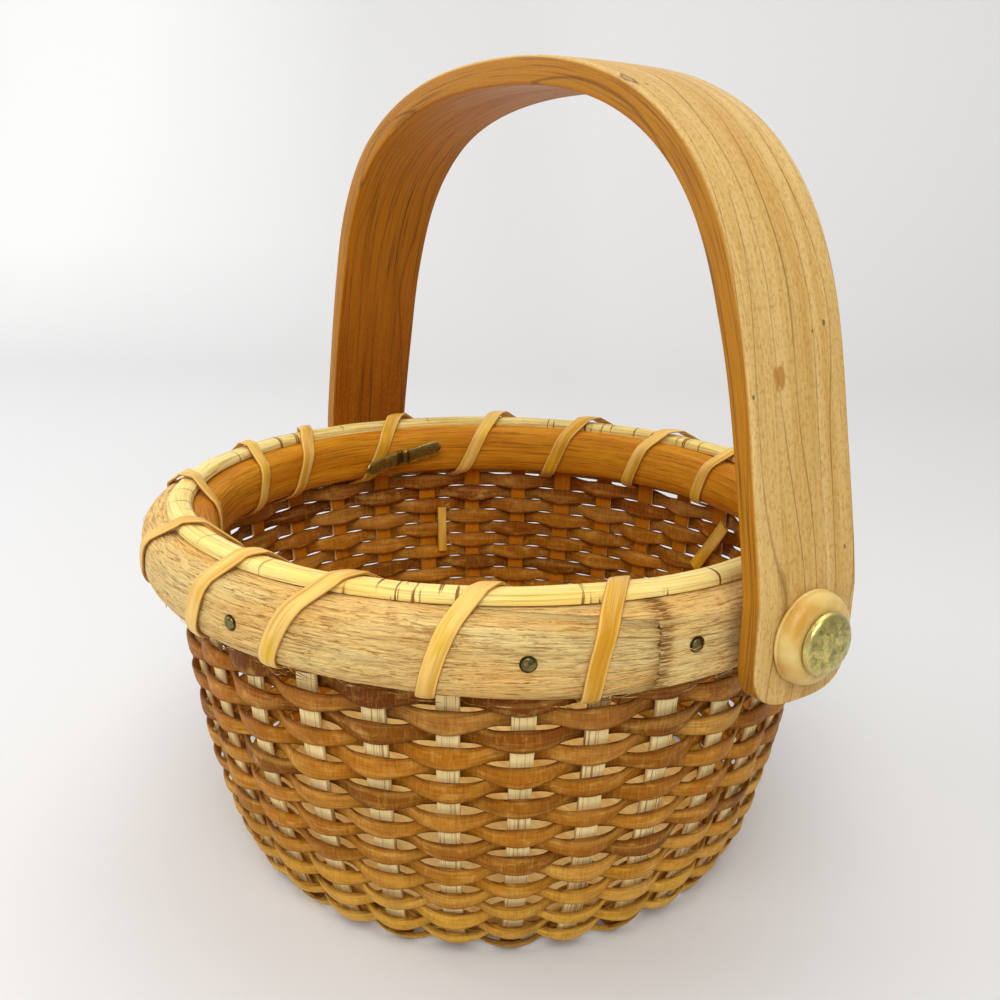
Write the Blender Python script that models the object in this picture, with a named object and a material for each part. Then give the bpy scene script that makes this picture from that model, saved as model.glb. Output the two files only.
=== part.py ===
"""Small round woven basket with a lashed rim and a swinging bentwood handle.

Metres, +Z up. The origin is under the middle of the base, where the basket rests.
The handle swings about a line along X through its two pivots.
"""
import math

import bpy
import numpy as np

# Base: a turned disc with a groove round its edge
BASE_RADIUS = 0.0575
BASE_THICKNESS = 0.0060
BASE_BEVEL = 0.0010
GROOVE_DEPTH = 0.0073
BASE_SEGMENTS = 48

# Wall: the middle line of the stakes, from the groove up to the rim
WALL_BOTTOM = 0.0025
WALL_FOOT_PAST_BASE = 0.0024
WALL_BEND = 1.5
WALL_SAMPLES = 400

# Stakes: the upright staves
STAKE_COUNT = 31
STAKE_FIRST_ANGLE = math.radians(-30.3)
STAKE_THICKNESS = 0.0015
STAKE_WIDTH_TOP = 0.0050
STAKE_WIDTH_FOOT = 0.0042
STAKE_STATION_SHARES = (0.0, 0.02, 0.05, 0.09, 0.15, 0.23, 0.35, 0.52, 0.75, 1.0)
STAKE_END_BELOW_FILLER = 0.0006
# How the stakes drift from even spacing: waves round the basket, size, phase
STAKE_DRIFT_WAVES = (
    (1, math.radians(2.1), math.radians(27.0)),
    (2, math.radians(1.4), math.radians(-176.0)),
    (3, math.radians(0.4), math.radians(-163.0)),
)

# Weaver: one cane that climbs round the wall, in front of one stake and behind the next
WEAVER_STEPS = 521
WEAVER_FIRST_STAKE = 17
WEAVER_SPLICE_STEPS = (212, 370)
WEAVER_THICKNESS = 0.0012
WEAVER_SWING = 0.00245
WEAVER_START_ABOVE_WALL_BOTTOM = 0.0040
WEAVER_GROWTH = 1.2
ROW_GAP = 0.00035
SPLICE_GAP = 0.0008

# Rims: two half-round hoops that hold the stake ends between them
RIM_RADIUS = 0.0850
RIM_BOTTOM = 0.0708
OUTER_RIM_HEIGHT = 0.0161
OUTER_RIM_THICKNESS = 0.0084
INNER_RIM_TOP_DROP = 0.0006
INNER_RIM_RAISE = 0.0020
INNER_RIM_THICKNESS = 0.0065
RIM_ROUNDNESS = 3.2
RIM_ARC_STEPS = 8
RIM_SEGMENTS = 72
LAP_ANGLE = math.radians(-13.0)
INNER_LAP_ANGLE = math.radians(-23.0)
LAP_SEGMENTS = 6
LAP_TIP_THICKNESS = 0.0011

# Filler: the strip that covers the stake ends between the rims
FILLER_WIDTH = 0.0056
FILLER_HEIGHT = 0.0022
FILLER_SHIFT = 0.0006
FILLER_ROUND_SHARE = 0.3
FILLER_JOINT_ANGLE = math.radians(14.0)
FILLER_JOINT_GAP = 0.0005

# Lashing: one flat strip wound round rims and filler
# Where it passes through the wall, counted in stakes from the first one
LASHING_STAKE_SHARES = (
    3.5, 5.35, 6.66, 8.6, 10.36, 12.36, 14.4, 16.42, 18.66, 20.54, 21.61, 24.5, 26.47, 27.66, 29.65,
    31.65, 33.5,
)
LASHING_WIDTH = 0.0041
LASHING_THICKNESS = 0.0008
LASHING_CLEARANCE = 0.00055
LASHING_STEPS_PER_TURN = 22
LASHING_CORNER_STEPS = 16

# Tails: two loose ends of cane tucked down the inside of the wall
TAIL_THICKNESS = 0.0010
TAIL_STEPS = 4
# Name, angle at the top, angle at the bottom, drop to the top, drop to the bottom, width, depth
# The drops are below the rims, and the depth is from the wall's middle line to the outer face
TAIL_PLACES = (
    ("tail_upright", math.radians(160.9), math.radians(160.9), 0.0101, 0.0246, 0.0028, 0.0029),
    ("tail_slanted", math.radians(80.9), math.radians(89.4), 0.0022, 0.0180, 0.0040, 0.0034),
)

# Pivots
PIVOT_ABOVE_RIM_BOTTOM = 0.0092
PIVOT_OFFSET = 0.0080
PIVOT_HOLE_RADIUS = 0.0026
PIVOT_HOLE_SIDES = 16

# Handle: a flat bentwood strap with rounded ears
HANDLE_WIDTH = 0.0258
HANDLE_THICKNESS = 0.0047
HANDLE_RISE = 0.1065
HANDLE_RIM_CLEARANCE = 0.0028
HANDLE_STRAIGHT = 0.0072
HANDLE_CORNER = 0.0132
HANDLE_BLEND_SHARE = 0.12
HANDLE_BLEND_STEPS = 5
HANDLE_LEAN = 0.01195
HANDLE_LEAN_RISE = 0.0372
HANDLE_SHOULDER_INSET = 0.0025
HANDLE_EDGE_BEVEL = 0.0007
EAR_DROP = 0.0130
EAR_ROUNDNESS = 3.4
EAR_STEP_SHARES = (0.99, 0.94, 0.84, 0.68, 0.45)
HANDLE_ARCH_STEPS = 24

# Washers and brads
WASHER_RADIUS = 0.0092
WASHER_THICKNESS = 0.0036
WASHER_EDGE = 0.0008
HEAD_RADIUS = 0.0062
HEAD_RISE = 0.0026
HEAD_EDGE = 0.0008
DOME_STEP_SHARES = (0.25, 0.5, 0.75)
SHANK_WIDTH = 0.0041
SHANK_THICKNESS = 0.0020
LEG_WIDTH = 0.0045
LEG_THICKNESS = 0.0010
LEG_LENGTH = 0.0122
LEG_SLIT = 0.0006
FAR_LEG_TILT = math.radians(14.0)
# Share of the leg's length, share of its full width
LEG_STATION_SHARES = ((0.0, 1.0), (0.3, 1.0), (0.6, 1.0), (0.88, 0.92), (1.0, 0.5))
TURNED_SEGMENTS = 24

# Nails: small brass nails through the outer rim
NAIL_DEGREES = (-69.3, -29.4, -7.2, 42.7, 83.8, 125.0, 152.0, 214.5)
NAIL_HEAD_RADIUS = 0.0015
NAIL_HEAD_RISE = 0.0005
NAIL_SHANK_RADIUS = 0.0006
NAIL_LENGTH = 0.0055
NAIL_SIDES = 10

# Fits
SEAT_GAP = 0.0003
CUT_OVERRUN = 0.0020

FULL_TURN = 2.0 * math.pi
SECTION_CORNERS = ((-1, -1), (1, -1), (1, 1), (-1, 1))
HULL_DECIMALS = 7
SHARP_ANGLE = math.radians(35.0)
STAKE_PITCH = FULL_TURN / STAKE_COUNT
WALL_HEIGHT = RIM_BOTTOM - WALL_BOTTOM
WALL_RADIUS_FOOT = BASE_RADIUS + WALL_FOOT_PAST_BASE
WALL_RADIUS_TOP = RIM_RADIUS - OUTER_RIM_THICKNESS - SEAT_GAP - STAKE_THICKNESS / 2
OUTER_RIM_INNER = WALL_RADIUS_TOP + STAKE_THICKNESS / 2 + SEAT_GAP
INNER_RIM_OUTER = WALL_RADIUS_TOP - STAKE_THICKNESS / 2 - SEAT_GAP
INNER_RIM_BOTTOM = RIM_BOTTOM + INNER_RIM_RAISE
INNER_RIM_HEIGHT = OUTER_RIM_HEIGHT - INNER_RIM_RAISE - INNER_RIM_TOP_DROP
PIVOT_HEIGHT = RIM_BOTTOM + PIVOT_ABOVE_RIM_BOTTOM
OUTER_RIM_MIDDLE = RIM_BOTTOM + OUTER_RIM_HEIGHT / 2
FILLER_BOTTOM = RIM_BOTTOM + OUTER_RIM_HEIGHT + SEAT_GAP
RIM_STEP_ANGLE = FULL_TURN / RIM_SEGMENTS
LAP_UNDER_RADIUS = RIM_RADIUS - LAP_TIP_THICKNESS - SEAT_GAP
HANDLE_INNER_X = RIM_RADIUS + HANDLE_RIM_CLEARANCE
HANDLE_OUTER_X = HANDLE_INNER_X + HANDLE_THICKNESS
WASHER_INNER_X = HANDLE_OUTER_X + SEAT_GAP
HEAD_INNER_X = WASHER_INNER_X + WASHER_THICKNESS + SEAT_GAP
INNER_RIM_INNER = INNER_RIM_OUTER - INNER_RIM_THICKNESS
LEG_OUTER = INNER_RIM_INNER - LASHING_CLEARANCE - LASHING_THICKNESS - SEAT_GAP
LEG_MIDDLE = LEG_OUTER - LEG_THICKNESS / 2
WEAVER_TURNS = WEAVER_STEPS / STAKE_COUNT


def new_material(name, color, roughness, metallic=0.0):
    """Make a Principled material."""
    material = bpy.data.materials.new(name)
    material.use_nodes = True
    shader = material.node_tree.nodes["Principled BSDF"]
    shader.inputs["Base Color"].default_value = (*color, 1.0)
    shader.inputs["Roughness"].default_value = roughness
    shader.inputs["Metallic"].default_value = metallic
    return material


def new_object(name, points, faces, material):
    """Make a mesh object whose faces all point outwards."""
    points = np.asarray(points, dtype=float)
    volume = 0.0
    for face in faces:
        for second, third in zip(face[1:-1], face[2:]):
            volume += np.dot(points[face[0]], np.cross(points[second], points[third]))
    if volume < 0:
        faces = [tuple(reversed(face)) for face in faces]
    mesh = bpy.data.meshes.new(name)
    mesh.from_pydata([tuple(point) for point in points], [], faces)
    mesh.shade_smooth()
    mesh.set_sharp_from_angle(angle=SHARP_ANGLE)
    mesh.materials.append(material)
    item = bpy.data.objects.new(name, mesh)
    bpy.context.scene.collection.objects.link(item)
    return item


def lofted(name, rings, material, closed=False):
    """Join a row of like sections into one solid, capped at both ends unless it closes on itself."""
    rings = np.asarray(rings, dtype=float)
    count, sides = rings.shape[:2]
    faces = []
    for ring in range(count if closed else count - 1):
        low = ring * sides
        high = ((ring + 1) % count) * sides
        for side in range(sides):
            following = (side + 1) % sides
            faces.append((low + side, low + following, high + following, high + side))
    if not closed:
        faces.append(tuple(reversed(range(sides))))
        faces.append(tuple(range((count - 1) * sides, count * sides)))
    return new_object(name, rings.reshape(-1, 3), faces, material)


def turned(name, profile, segments, material):
    """Turn a profile of radius and height pairs, whose two ends are flat discs on the axis."""
    angles = np.arange(segments) * FULL_TURN / segments
    rings = [[(r * math.cos(a), r * math.sin(a), z) for a in angles] for r, z in profile]
    return lofted(name, rings, material)


def around(angle, radius, height):
    """Turn angles, radii and heights into points round the basket's axis."""
    return np.stack(np.broadcast_arrays(radius * np.cos(angle), radius * np.sin(angle), height), axis=-1)


def wall_table():
    """Tabulate the wall's middle line by arc length: arc, radius, height, slope along it."""
    share = 1 - np.cos(np.linspace(0, math.pi / 2, WALL_SAMPLES))
    height = WALL_BOTTOM + share * WALL_HEIGHT
    swell = (1 - (1 - share) ** WALL_BEND) ** (1 / WALL_BEND)
    radius = WALL_RADIUS_FOOT + (WALL_RADIUS_TOP - WALL_RADIUS_FOOT) * swell
    arc = np.concatenate([[0.0], np.cumsum(np.hypot(np.diff(radius), np.diff(height)))])
    slope_r = np.gradient(radius, arc)
    slope_z = np.gradient(height, arc)
    length = np.hypot(slope_r, slope_z)
    return arc, radius, height, slope_r / length, slope_z / length


WALL = wall_table()
WALL_LENGTH = WALL[0][-1]


def wall_at(arc):
    """Read the wall's middle line at arc lengths: radius, height, direction along it."""
    return tuple(np.interp(arc, WALL[0], column) for column in WALL[1:])


def arc_at_height(height):
    """Arc length along the wall at a height."""
    return float(np.interp(height, WALL[2], WALL[0]))


LASHING_UNDERSIDE = RIM_BOTTOM - LASHING_CLEARANCE - LASHING_THICKNESS - SEAT_GAP
ROW_START = arc_at_height(WALL_BOTTOM + WEAVER_START_ABOVE_WALL_BOTTOM)
ROW_SPAN_TOP = arc_at_height(LASHING_UNDERSIDE)
TOP_PITCH_SHARE = 2 * WEAVER_GROWTH / (1 + WEAVER_GROWTH) / WEAVER_TURNS
ROW_SPAN = (ROW_SPAN_TOP - ROW_START) / (1 + TOP_PITCH_SHARE / 2)


def row_arc(turn):
    """Arc length of the weaver's middle after a number of turns: the rows widen as they rise."""
    share = turn / WEAVER_TURNS
    bottom_pitch = 2 * ROW_SPAN / (WEAVER_TURNS * (1 + WEAVER_GROWTH))
    ramp = np.clip(share, 0, None) ** 3 - np.clip(share, 0, None) ** 4 / 2
    return ROW_START + bottom_pitch * turn + bottom_pitch * (WEAVER_GROWTH - 1) * WEAVER_TURNS * ramp


def stake_angle(number):
    """Angle of a stake, or of a place between two: even spacing with a slow drift."""
    even = STAKE_FIRST_ANGLE + number * STAKE_PITCH
    return even + sum(size * np.cos(waves * even + phase) for waves, size, phase in STAKE_DRIFT_WAVES)


def build_base(material):
    """Turned disc: a flat underside, a groove for the stake feet and eased edges."""
    groove_half = STAKE_THICKNESS / 2 + SEAT_GAP
    profile = [
        (BASE_RADIUS - BASE_BEVEL, 0.0),
        (BASE_RADIUS, BASE_BEVEL),
        (BASE_RADIUS, WALL_BOTTOM - groove_half),
        (BASE_RADIUS - GROOVE_DEPTH, WALL_BOTTOM - groove_half),
        (BASE_RADIUS - GROOVE_DEPTH, WALL_BOTTOM + groove_half),
        (BASE_RADIUS, WALL_BOTTOM + groove_half),
        (BASE_RADIUS, BASE_THICKNESS - BASE_BEVEL),
        (BASE_RADIUS - BASE_BEVEL, BASE_THICKNESS),
    ]
    return turned("base_disc", profile, BASE_SEGMENTS, material)


def stake_stands_at_pivot(angle):
    """Say whether a stake's tip would stand in the way of a brad."""
    reach = STAKE_WIDTH_TOP / 2 + PIVOT_HOLE_RADIUS + SEAT_GAP
    return abs(WALL_RADIUS_TOP * math.sin(angle) - PIVOT_OFFSET) < reach


def build_stake(index, material):
    """Flat stave: its foot lies in the groove, then it follows the wall up between the rims."""
    angle = float(stake_angle(index))
    top = FILLER_BOTTOM - STAKE_END_BELOW_FILLER
    if stake_stands_at_pivot(angle):
        top = PIVOT_HEIGHT - PIVOT_HOLE_RADIUS - SEAT_GAP
    radius, height, along_r, along_z = wall_at(np.array(STAKE_STATION_SHARES) * WALL_LENGTH)
    foot = BASE_RADIUS - GROOVE_DEPTH + SEAT_GAP
    path = [(foot, WALL_BOTTOM, 1.0, 0.0, 0.0)]
    path += [(r, z, t, u, z / RIM_BOTTOM) for r, z, t, u in zip(radius, height, along_r, along_z)]
    path[1] = (WALL_RADIUS_FOOT - STAKE_THICKNESS / 2, WALL_BOTTOM, 1.0, 0.0, 0.0)
    path.append((WALL_RADIUS_TOP, top, 0.0, 1.0, 1.0))
    sideways = np.array([-math.sin(angle), math.cos(angle), 0.0])
    rings = []
    for r, z, along, up, rise in path:
        half_width = (STAKE_WIDTH_FOOT + (STAKE_WIDTH_TOP - STAKE_WIDTH_FOOT) * rise) / 2
        ring = []
        for side, face in SECTION_CORNERS:
            shift = face * STAKE_THICKNESS / 2
            ring.append(around(angle, r + up * shift, z - along * shift) + side * half_width * sideways)
        rings.append(ring)
    return lofted("stake_%02d" % (index + 1), rings, material)


def build_weaver(name, first, last, material):
    """Length of the climbing cane: outside one stake and inside the next, all the way round."""
    steps = np.arange(first, last + 1)
    turns = steps / STAKE_COUNT
    angle = stake_angle(WEAVER_FIRST_STAKE + steps)
    swing = np.where(steps % 2 == 0, WEAVER_SWING, -WEAVER_SWING)
    half_height = (row_arc(turns + 1 / 2) - row_arc(turns - 1 / 2) - ROW_GAP) / 2
    radius, height, along_r, along_z = wall_at(row_arc(turns))
    end_shift = SPLICE_GAP / 2 / radius
    angle[0] += end_shift[0]
    angle[-1] -= end_shift[-1]
    corners = []
    for face, edge in SECTION_CORNERS:
        out = swing + face * WEAVER_THICKNESS / 2
        rise = edge * half_height
        rim = radius + along_z * out + along_r * rise
        corners.append(around(angle, rim, height - along_r * out + along_z * rise))
    return lofted(name, np.stack(corners, axis=1), material)


def half_round(thickness, height, floor_share=0.0, cap_share=1.0):
    """Half-round section, flat on its back: distance out from the back, height above its foot.

    The floor share cuts the back away and the cap share shaves the front flat, as a scarf does.
    """
    reach = math.acos(floor_share ** (RIM_ROUNDNESS / 2))
    turn = np.linspace(-reach, reach, RIM_ARC_STEPS + 1)
    power = 2 / RIM_ROUNDNESS
    out = np.abs(np.cos(turn)) ** power
    out[[0, -1]] = floor_share
    level = np.sign(np.sin(turn)) * np.abs(np.sin(turn)) ** power
    return thickness * np.minimum(out, cap_share), height / 2 * (1 + level)


def lapped_hoop(name, lap_angle, thickness, height, place, material):
    """Half-round hoop whose two ends lap in a scarf; place sets a section's points round the axis."""
    tip = LAP_TIP_THICKNESS / thickness
    gap = SEAT_GAP / thickness
    under = 1 - tip - gap
    rings = []
    for step in range(RIM_SEGMENTS + LAP_SEGMENTS + 1):
        angle = lap_angle + (step - LAP_SEGMENTS) * RIM_STEP_ANGLE
        past = step / LAP_SEGMENTS
        cap = min(1.0, tip + (under - tip) * past if past <= 1 else under + (1 - under) * (past - 1))
        lapped = past - RIM_SEGMENTS / LAP_SEGMENTS
        floor = tip + (under - tip) * lapped + gap if lapped >= 0 else 0.0
        out, level = half_round(thickness, height, floor, cap)
        rings.append(place(angle, out, level))
    return lofted(name, rings, material)


def build_outer_rim(material):
    """Outer hoop, its flat back against the stake ends."""
    def place(angle, out, level):
        return around(angle, OUTER_RIM_INNER + out, RIM_BOTTOM + level)

    return lapped_hoop("outer_rim", LAP_ANGLE, OUTER_RIM_THICKNESS, OUTER_RIM_HEIGHT, place, material)


def build_inner_rim(material):
    """Inner hoop, the same section turned inwards and a little higher."""
    def place(angle, out, level):
        return around(angle, INNER_RIM_OUTER - out, INNER_RIM_BOTTOM + level)

    return lapped_hoop("inner_rim", INNER_LAP_ANGLE, INNER_RIM_THICKNESS, INNER_RIM_HEIGHT, place, material)


def filler_section():
    """Low strip with a rounded top: radius and height arrays."""
    half = FILLER_WIDTH / 2
    shoulder = half * (1 - FILLER_ROUND_SHARE)
    side = FILLER_HEIGHT * (1 - FILLER_ROUND_SHARE)
    across = np.array([-half, half, half, shoulder, -shoulder, -half])
    level = np.array([0.0, 0.0, side, FILLER_HEIGHT, FILLER_HEIGHT, side])
    return WALL_RADIUS_TOP + FILLER_SHIFT + across, FILLER_BOTTOM + level


def build_filler(material):
    """Strip over the stake ends, cut to length so that its ends meet behind the handle."""
    radius, level = filler_section()
    shift = FILLER_JOINT_GAP / 2 / WALL_RADIUS_TOP
    start = FILLER_JOINT_ANGLE + shift
    angles = np.linspace(start, FILLER_JOINT_ANGLE + FULL_TURN - shift, RIM_SEGMENTS)
    return lofted("rim_filler", [around(angle, radius, level) for angle in angles], material)


def hull_side(points):
    """Half of the convex outline of sorted points, without its last point."""
    side = []
    for point in points:
        while len(side) > 1:
            ahead = np.subtract(side[-1], side[-2])
            turn = np.subtract(point, side[-2])
            if ahead[0] * turn[1] - ahead[1] * turn[0] > 0:
                break
            side.pop()
        side.append(point)
    return side[:-1]


def rim_outline(grow):
    """Convex outline round rims and filler, grown outwards and counterclockwise."""
    outer_out, outer_level = half_round(OUTER_RIM_THICKNESS, OUTER_RIM_HEIGHT)
    inner_out, inner_level = half_round(INNER_RIM_THICKNESS, INNER_RIM_HEIGHT)
    radius, level = filler_section()
    cloud = np.concatenate([
        np.stack([OUTER_RIM_INNER + outer_out, RIM_BOTTOM + outer_level], axis=1),
        np.stack([INNER_RIM_OUTER - inner_out, INNER_RIM_BOTTOM + inner_level], axis=1),
        np.stack([radius, level], axis=1),
    ])
    turn = np.arange(LASHING_CORNER_STEPS) * FULL_TURN / LASHING_CORNER_STEPS
    circle = grow * np.stack([np.cos(turn), np.sin(turn)], axis=1)
    grown = (cloud[:, None, :] + circle[None, :, :]).reshape(-1, 2)
    points = sorted(set(map(tuple, np.round(grown, HULL_DECIMALS).tolist())))
    return np.array(hull_side(points) + hull_side(points[::-1]))


def lashing_loop():
    """Stations of the strip round the rims: points and outward directions, the first under the wall.

    The stations crowd where the outline turns, so that the strip doesn't cut its corners.
    """
    loop = rim_outline(LASHING_CLEARANCE + LASHING_THICKNESS / 2)
    under = int(np.argmax((loop[:, 0] > WALL_RADIUS_TOP) & (loop[:, 1] < RIM_BOTTOM)))
    before = loop[under - 1]
    share = (WALL_RADIUS_TOP - before[0]) / (loop[under, 0] - before[0])
    start = before + share * (loop[under] - before)
    loop = np.vstack([start, np.roll(loop, -under, axis=0), start])
    edges = np.diff(loop, axis=0)
    lengths = np.hypot(edges[:, 0], edges[:, 1])
    heading = np.unwrap(np.arctan2(edges[:, 1], edges[:, 0]))
    bends = np.concatenate([[0.0], np.diff(heading), [0.0]]) / FULL_TURN
    lengths_share = lengths / lengths.sum()
    weight = np.concatenate([[0.0], np.cumsum(lengths_share + (bends[:-1] + bends[1:]) / 2)])
    stations = weight[-1] * np.arange(LASHING_STEPS_PER_TURN) / LASHING_STEPS_PER_TURN
    radius = np.interp(stations, weight, loop[:, 0])
    height = np.interp(stations, weight, loop[:, 1])
    ahead_r = np.roll(radius, -1) - np.roll(radius, 1)
    ahead_z = np.roll(height, -1) - np.roll(height, 1)
    ahead = np.hypot(ahead_r, ahead_z)
    arc = np.concatenate([[0.0], np.cumsum(np.hypot(np.diff(radius), np.diff(height)))])
    return radius, height, ahead_z / ahead, -ahead_r / ahead, arc


def build_lashing(material):
    """Flat strip wound round the rim: it crosses the wall between stakes and leans as it climbs."""
    radius, height, out_r, out_z, arc = lashing_loop()
    lean = np.clip((arc - arc[1]) / (arc[-1] - arc[1]), 0, 1)
    turns = len(LASHING_STAKE_SHARES) - 1
    step = np.arange(turns * LASHING_STEPS_PER_TURN + 1)
    place = step % LASHING_STEPS_PER_TURN
    wound = step // LASHING_STEPS_PER_TURN + lean[place]
    angle = stake_angle(np.interp(wound, np.arange(turns + 1), LASHING_STAKE_SHARES))
    middle = around(angle, radius[place], height[place])
    normal = around(angle, out_r[place], out_z[place])
    return flat_strip("rim_lashing", middle, normal, LASHING_WIDTH, LASHING_THICKNESS, material)


def flat_strip(name, middle, normal, width, thickness, material):
    """Flat strip that follows a row of points, its face square to the given directions."""
    across = np.cross(np.gradient(middle, axis=0), normal)
    across /= np.linalg.norm(across, axis=1)[:, None]
    corners = []
    for face, edge in SECTION_CORNERS:
        corners.append(middle + edge * across * width / 2 + face * normal * thickness / 2)
    return lofted(name, np.stack(corners, axis=1), material)


def build_tail(name, top_angle, bottom_angle, top_drop, bottom_drop, width, depth, material):
    """Loose end of cane lying against the inside of the weave."""
    angle = np.linspace(top_angle, bottom_angle, TAIL_STEPS)
    arc = np.linspace(arc_at_height(RIM_BOTTOM - top_drop), arc_at_height(RIM_BOTTOM - bottom_drop), TAIL_STEPS)
    radius, height, along_r, along_z = wall_at(arc)
    inward = depth + TAIL_THICKNESS / 2
    middle = around(angle, radius - along_z * inward, height + along_r * inward)
    return flat_strip(name, middle, around(angle, along_z, -along_r), width, TAIL_THICKNESS, material)


def bezier(knots, shares):
    """Points of a Bezier curve at shares of its length, for any number of knots."""
    order = len(knots) - 1
    weights = [math.comb(order, k) * shares ** k * (1 - shares) ** (order - k) for k in range(order + 1)]
    return np.stack(weights, axis=1) @ knots


def handle_line():
    """Outer face of the strap, ear to ear: distance along X, height above the pivot, half width."""
    points = []
    for share in EAR_STEP_SHARES:
        half = HANDLE_WIDTH / 2 * (1 - share ** EAR_ROUNDNESS) ** (1 / EAR_ROUNDNESS)
        points.append((HANDLE_OUTER_X, -EAR_DROP * share, half))
    points.append((HANDLE_OUTER_X, 0.0, HANDLE_WIDTH / 2))
    knots = np.array([
        (HANDLE_OUTER_X, HANDLE_CORNER),
        (HANDLE_OUTER_X - HANDLE_LEAN, HANDLE_CORNER + HANDLE_LEAN_RISE),
        (HANDLE_OUTER_X - HANDLE_SHOULDER_INSET, HANDLE_RISE),
        (0.0, HANDLE_RISE),
    ])
    arch = bezier(knots, np.linspace(HANDLE_BLEND_SHARE, 1, HANDLE_ARCH_STEPS + 1))
    slope = (arch[1] - arch[0])[0] / (arch[1] - arch[0])[1]
    corner = arch[0][1] + (HANDLE_OUTER_X - arch[0][0]) / slope
    bend_knots = np.array([(HANDLE_OUTER_X, HANDLE_STRAIGHT), (HANDLE_OUTER_X, corner), arch[0]])
    bend = bezier(bend_knots, np.linspace(0, 1, HANDLE_BLEND_STEPS + 1)[:-1])
    points += [(x, z, HANDLE_WIDTH / 2) for x, z in np.vstack([bend, arch])]
    near = np.array(points)
    far = near[-2::-1] * np.array([-1.0, 1.0, 1.0])
    return np.vstack([near, far])


def build_handle(material):
    """Bent strap: an eight-sided section carried from ear to ear."""
    line = handle_line()
    ahead = np.gradient(line[:, :2], axis=0)
    ahead /= np.hypot(ahead[:, 0], ahead[:, 1])[:, None]
    rings = []
    for (x, z, half), (ahead_x, ahead_z) in zip(line, ahead):
        edge = min(HANDLE_EDGE_BEVEL, half / 2)
        inner = HANDLE_THICKNESS
        deep = np.array([0.0, 0.0, edge, inner - edge, inner, inner, inner - edge, edge])
        wide = np.array([edge - half, half - edge, half, half, half - edge, edge - half, -half, -half])
        rings.append(np.stack([x - ahead_z * deep, wide, z + ahead_x * deep], axis=1))
    handle = lofted("handle", rings, material)
    handle.location = (0.0, PIVOT_OFFSET, PIVOT_HEIGHT)
    return handle


def round_bar(name, centre, axis, radius, length, sides, material):
    """Round bar through a centre point, along a level axis."""
    axis = np.asarray(axis, dtype=float)
    upward = np.array([0.0, 0.0, 1.0])
    sideways = np.cross(upward, axis)
    turn = np.arange(sides) * FULL_TURN / sides
    ring = radius * (np.outer(np.cos(turn), sideways) + np.outer(np.sin(turn), upward))
    rings = [np.asarray(centre) + end * axis * length / 2 + ring for end in (-1, 1)]
    return lofted(name, rings, material)


def combine(target, tool, operation):
    """Cut a tool out of a solid, or join it on; the tool itself is not drawn."""
    modifier = target.modifiers.new(tool.name, "BOOLEAN")
    modifier.operation = operation
    modifier.solver = "EXACT"
    modifier.object = tool
    tool.hide_render = True
    tool.display_type = "WIRE"


def pivot_turned(name, profile, side, closed, material):
    """Solid turned about the pivot line from pairs of radius and distance out along X."""
    turn = np.arange(TURNED_SEGMENTS) * FULL_TURN / TURNED_SEGMENTS
    rings = []
    for radius, out in profile:
        across = PIVOT_OFFSET + radius * np.cos(turn)
        rings.append(np.stack([np.full(turn.shape, side * out), across,
                               PIVOT_HEIGHT + radius * np.sin(turn)], axis=1))
    return lofted(name, rings, material, closed)


def build_washer(name, side, material):
    """Domed washer between the brad's head and the handle."""
    profile = [
        (PIVOT_HOLE_RADIUS, WASHER_INNER_X),
        (WASHER_RADIUS - WASHER_EDGE / 2, WASHER_INNER_X),
        (WASHER_RADIUS, WASHER_INNER_X + WASHER_EDGE / 2),
    ]
    for share in DOME_STEP_SHARES:
        radius = WASHER_RADIUS - (WASHER_RADIUS - HEAD_RADIUS) * share ** 2
        profile.append((radius, WASHER_INNER_X + WASHER_EDGE + (WASHER_THICKNESS - WASHER_EDGE) * share))
    profile.append((HEAD_RADIUS - HEAD_EDGE, WASHER_INNER_X + WASHER_THICKNESS))
    profile.append((PIVOT_HOLE_RADIUS, WASHER_INNER_X + WASHER_THICKNESS))
    return pivot_turned(name, profile, side, True, material)


def build_brad(name, side, tilt, material):
    """Split brad: a low domed head, a flat shank through the stack and two legs spread inside."""
    profile = [(HEAD_RADIUS - HEAD_EDGE / 2, HEAD_INNER_X), (HEAD_RADIUS, HEAD_INNER_X + HEAD_EDGE / 2)]
    for share in DOME_STEP_SHARES:
        lift = HEAD_EDGE + (HEAD_RISE - HEAD_EDGE) * math.sin(share * math.pi / 2)
        profile.append((HEAD_RADIUS * math.cos(share * math.pi / 2), HEAD_INNER_X + lift))
    head = pivot_turned(name, profile, side, False, material)
    inner_end = math.sqrt(LEG_MIDDLE ** 2 - PIVOT_OFFSET ** 2)
    rings = []
    for out in (HEAD_INNER_X + HEAD_EDGE / 2, inner_end):
        rings.append([(side * out, PIVOT_OFFSET + across * SHANK_THICKNESS / 2,
                       PIVOT_HEIGHT + up * SHANK_WIDTH / 2) for across, up in SECTION_CORNERS])
    combine(head, lofted(name + "_shank", rings, material), "UNION")
    for way in (-1, 1):
        combine(head, build_leg("%s_leg_%d" % (name, way), side, way, tilt, material), "UNION")
    return head


def build_leg(name, side, way, tilt, material):
    """Spread leg: an arc inside the inner rim that stands clear of the lashing, narrow at its tip.

    The tilt turns the pair of legs a little about the pivot line.
    """
    middle_angle = math.asin(PIVOT_OFFSET / LEG_MIDDLE)
    rings = []
    for share, width_share in LEG_STATION_SHARES:
        reach = LEG_SLIT / 2 + (LEG_LENGTH - LEG_SLIT / 2) * share
        angle = middle_angle + way * reach / LEG_MIDDLE
        ring = []
        for face, up in SECTION_CORNERS:
            radius = LEG_MIDDLE + face * LEG_THICKNESS / 2
            height = PIVOT_HEIGHT + way * reach * math.tan(tilt) + up * width_share * LEG_WIDTH / 2
            ring.append((side * radius * math.cos(angle), radius * math.sin(angle), height))
        rings.append(ring)
    return lofted(name, rings, material)


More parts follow.
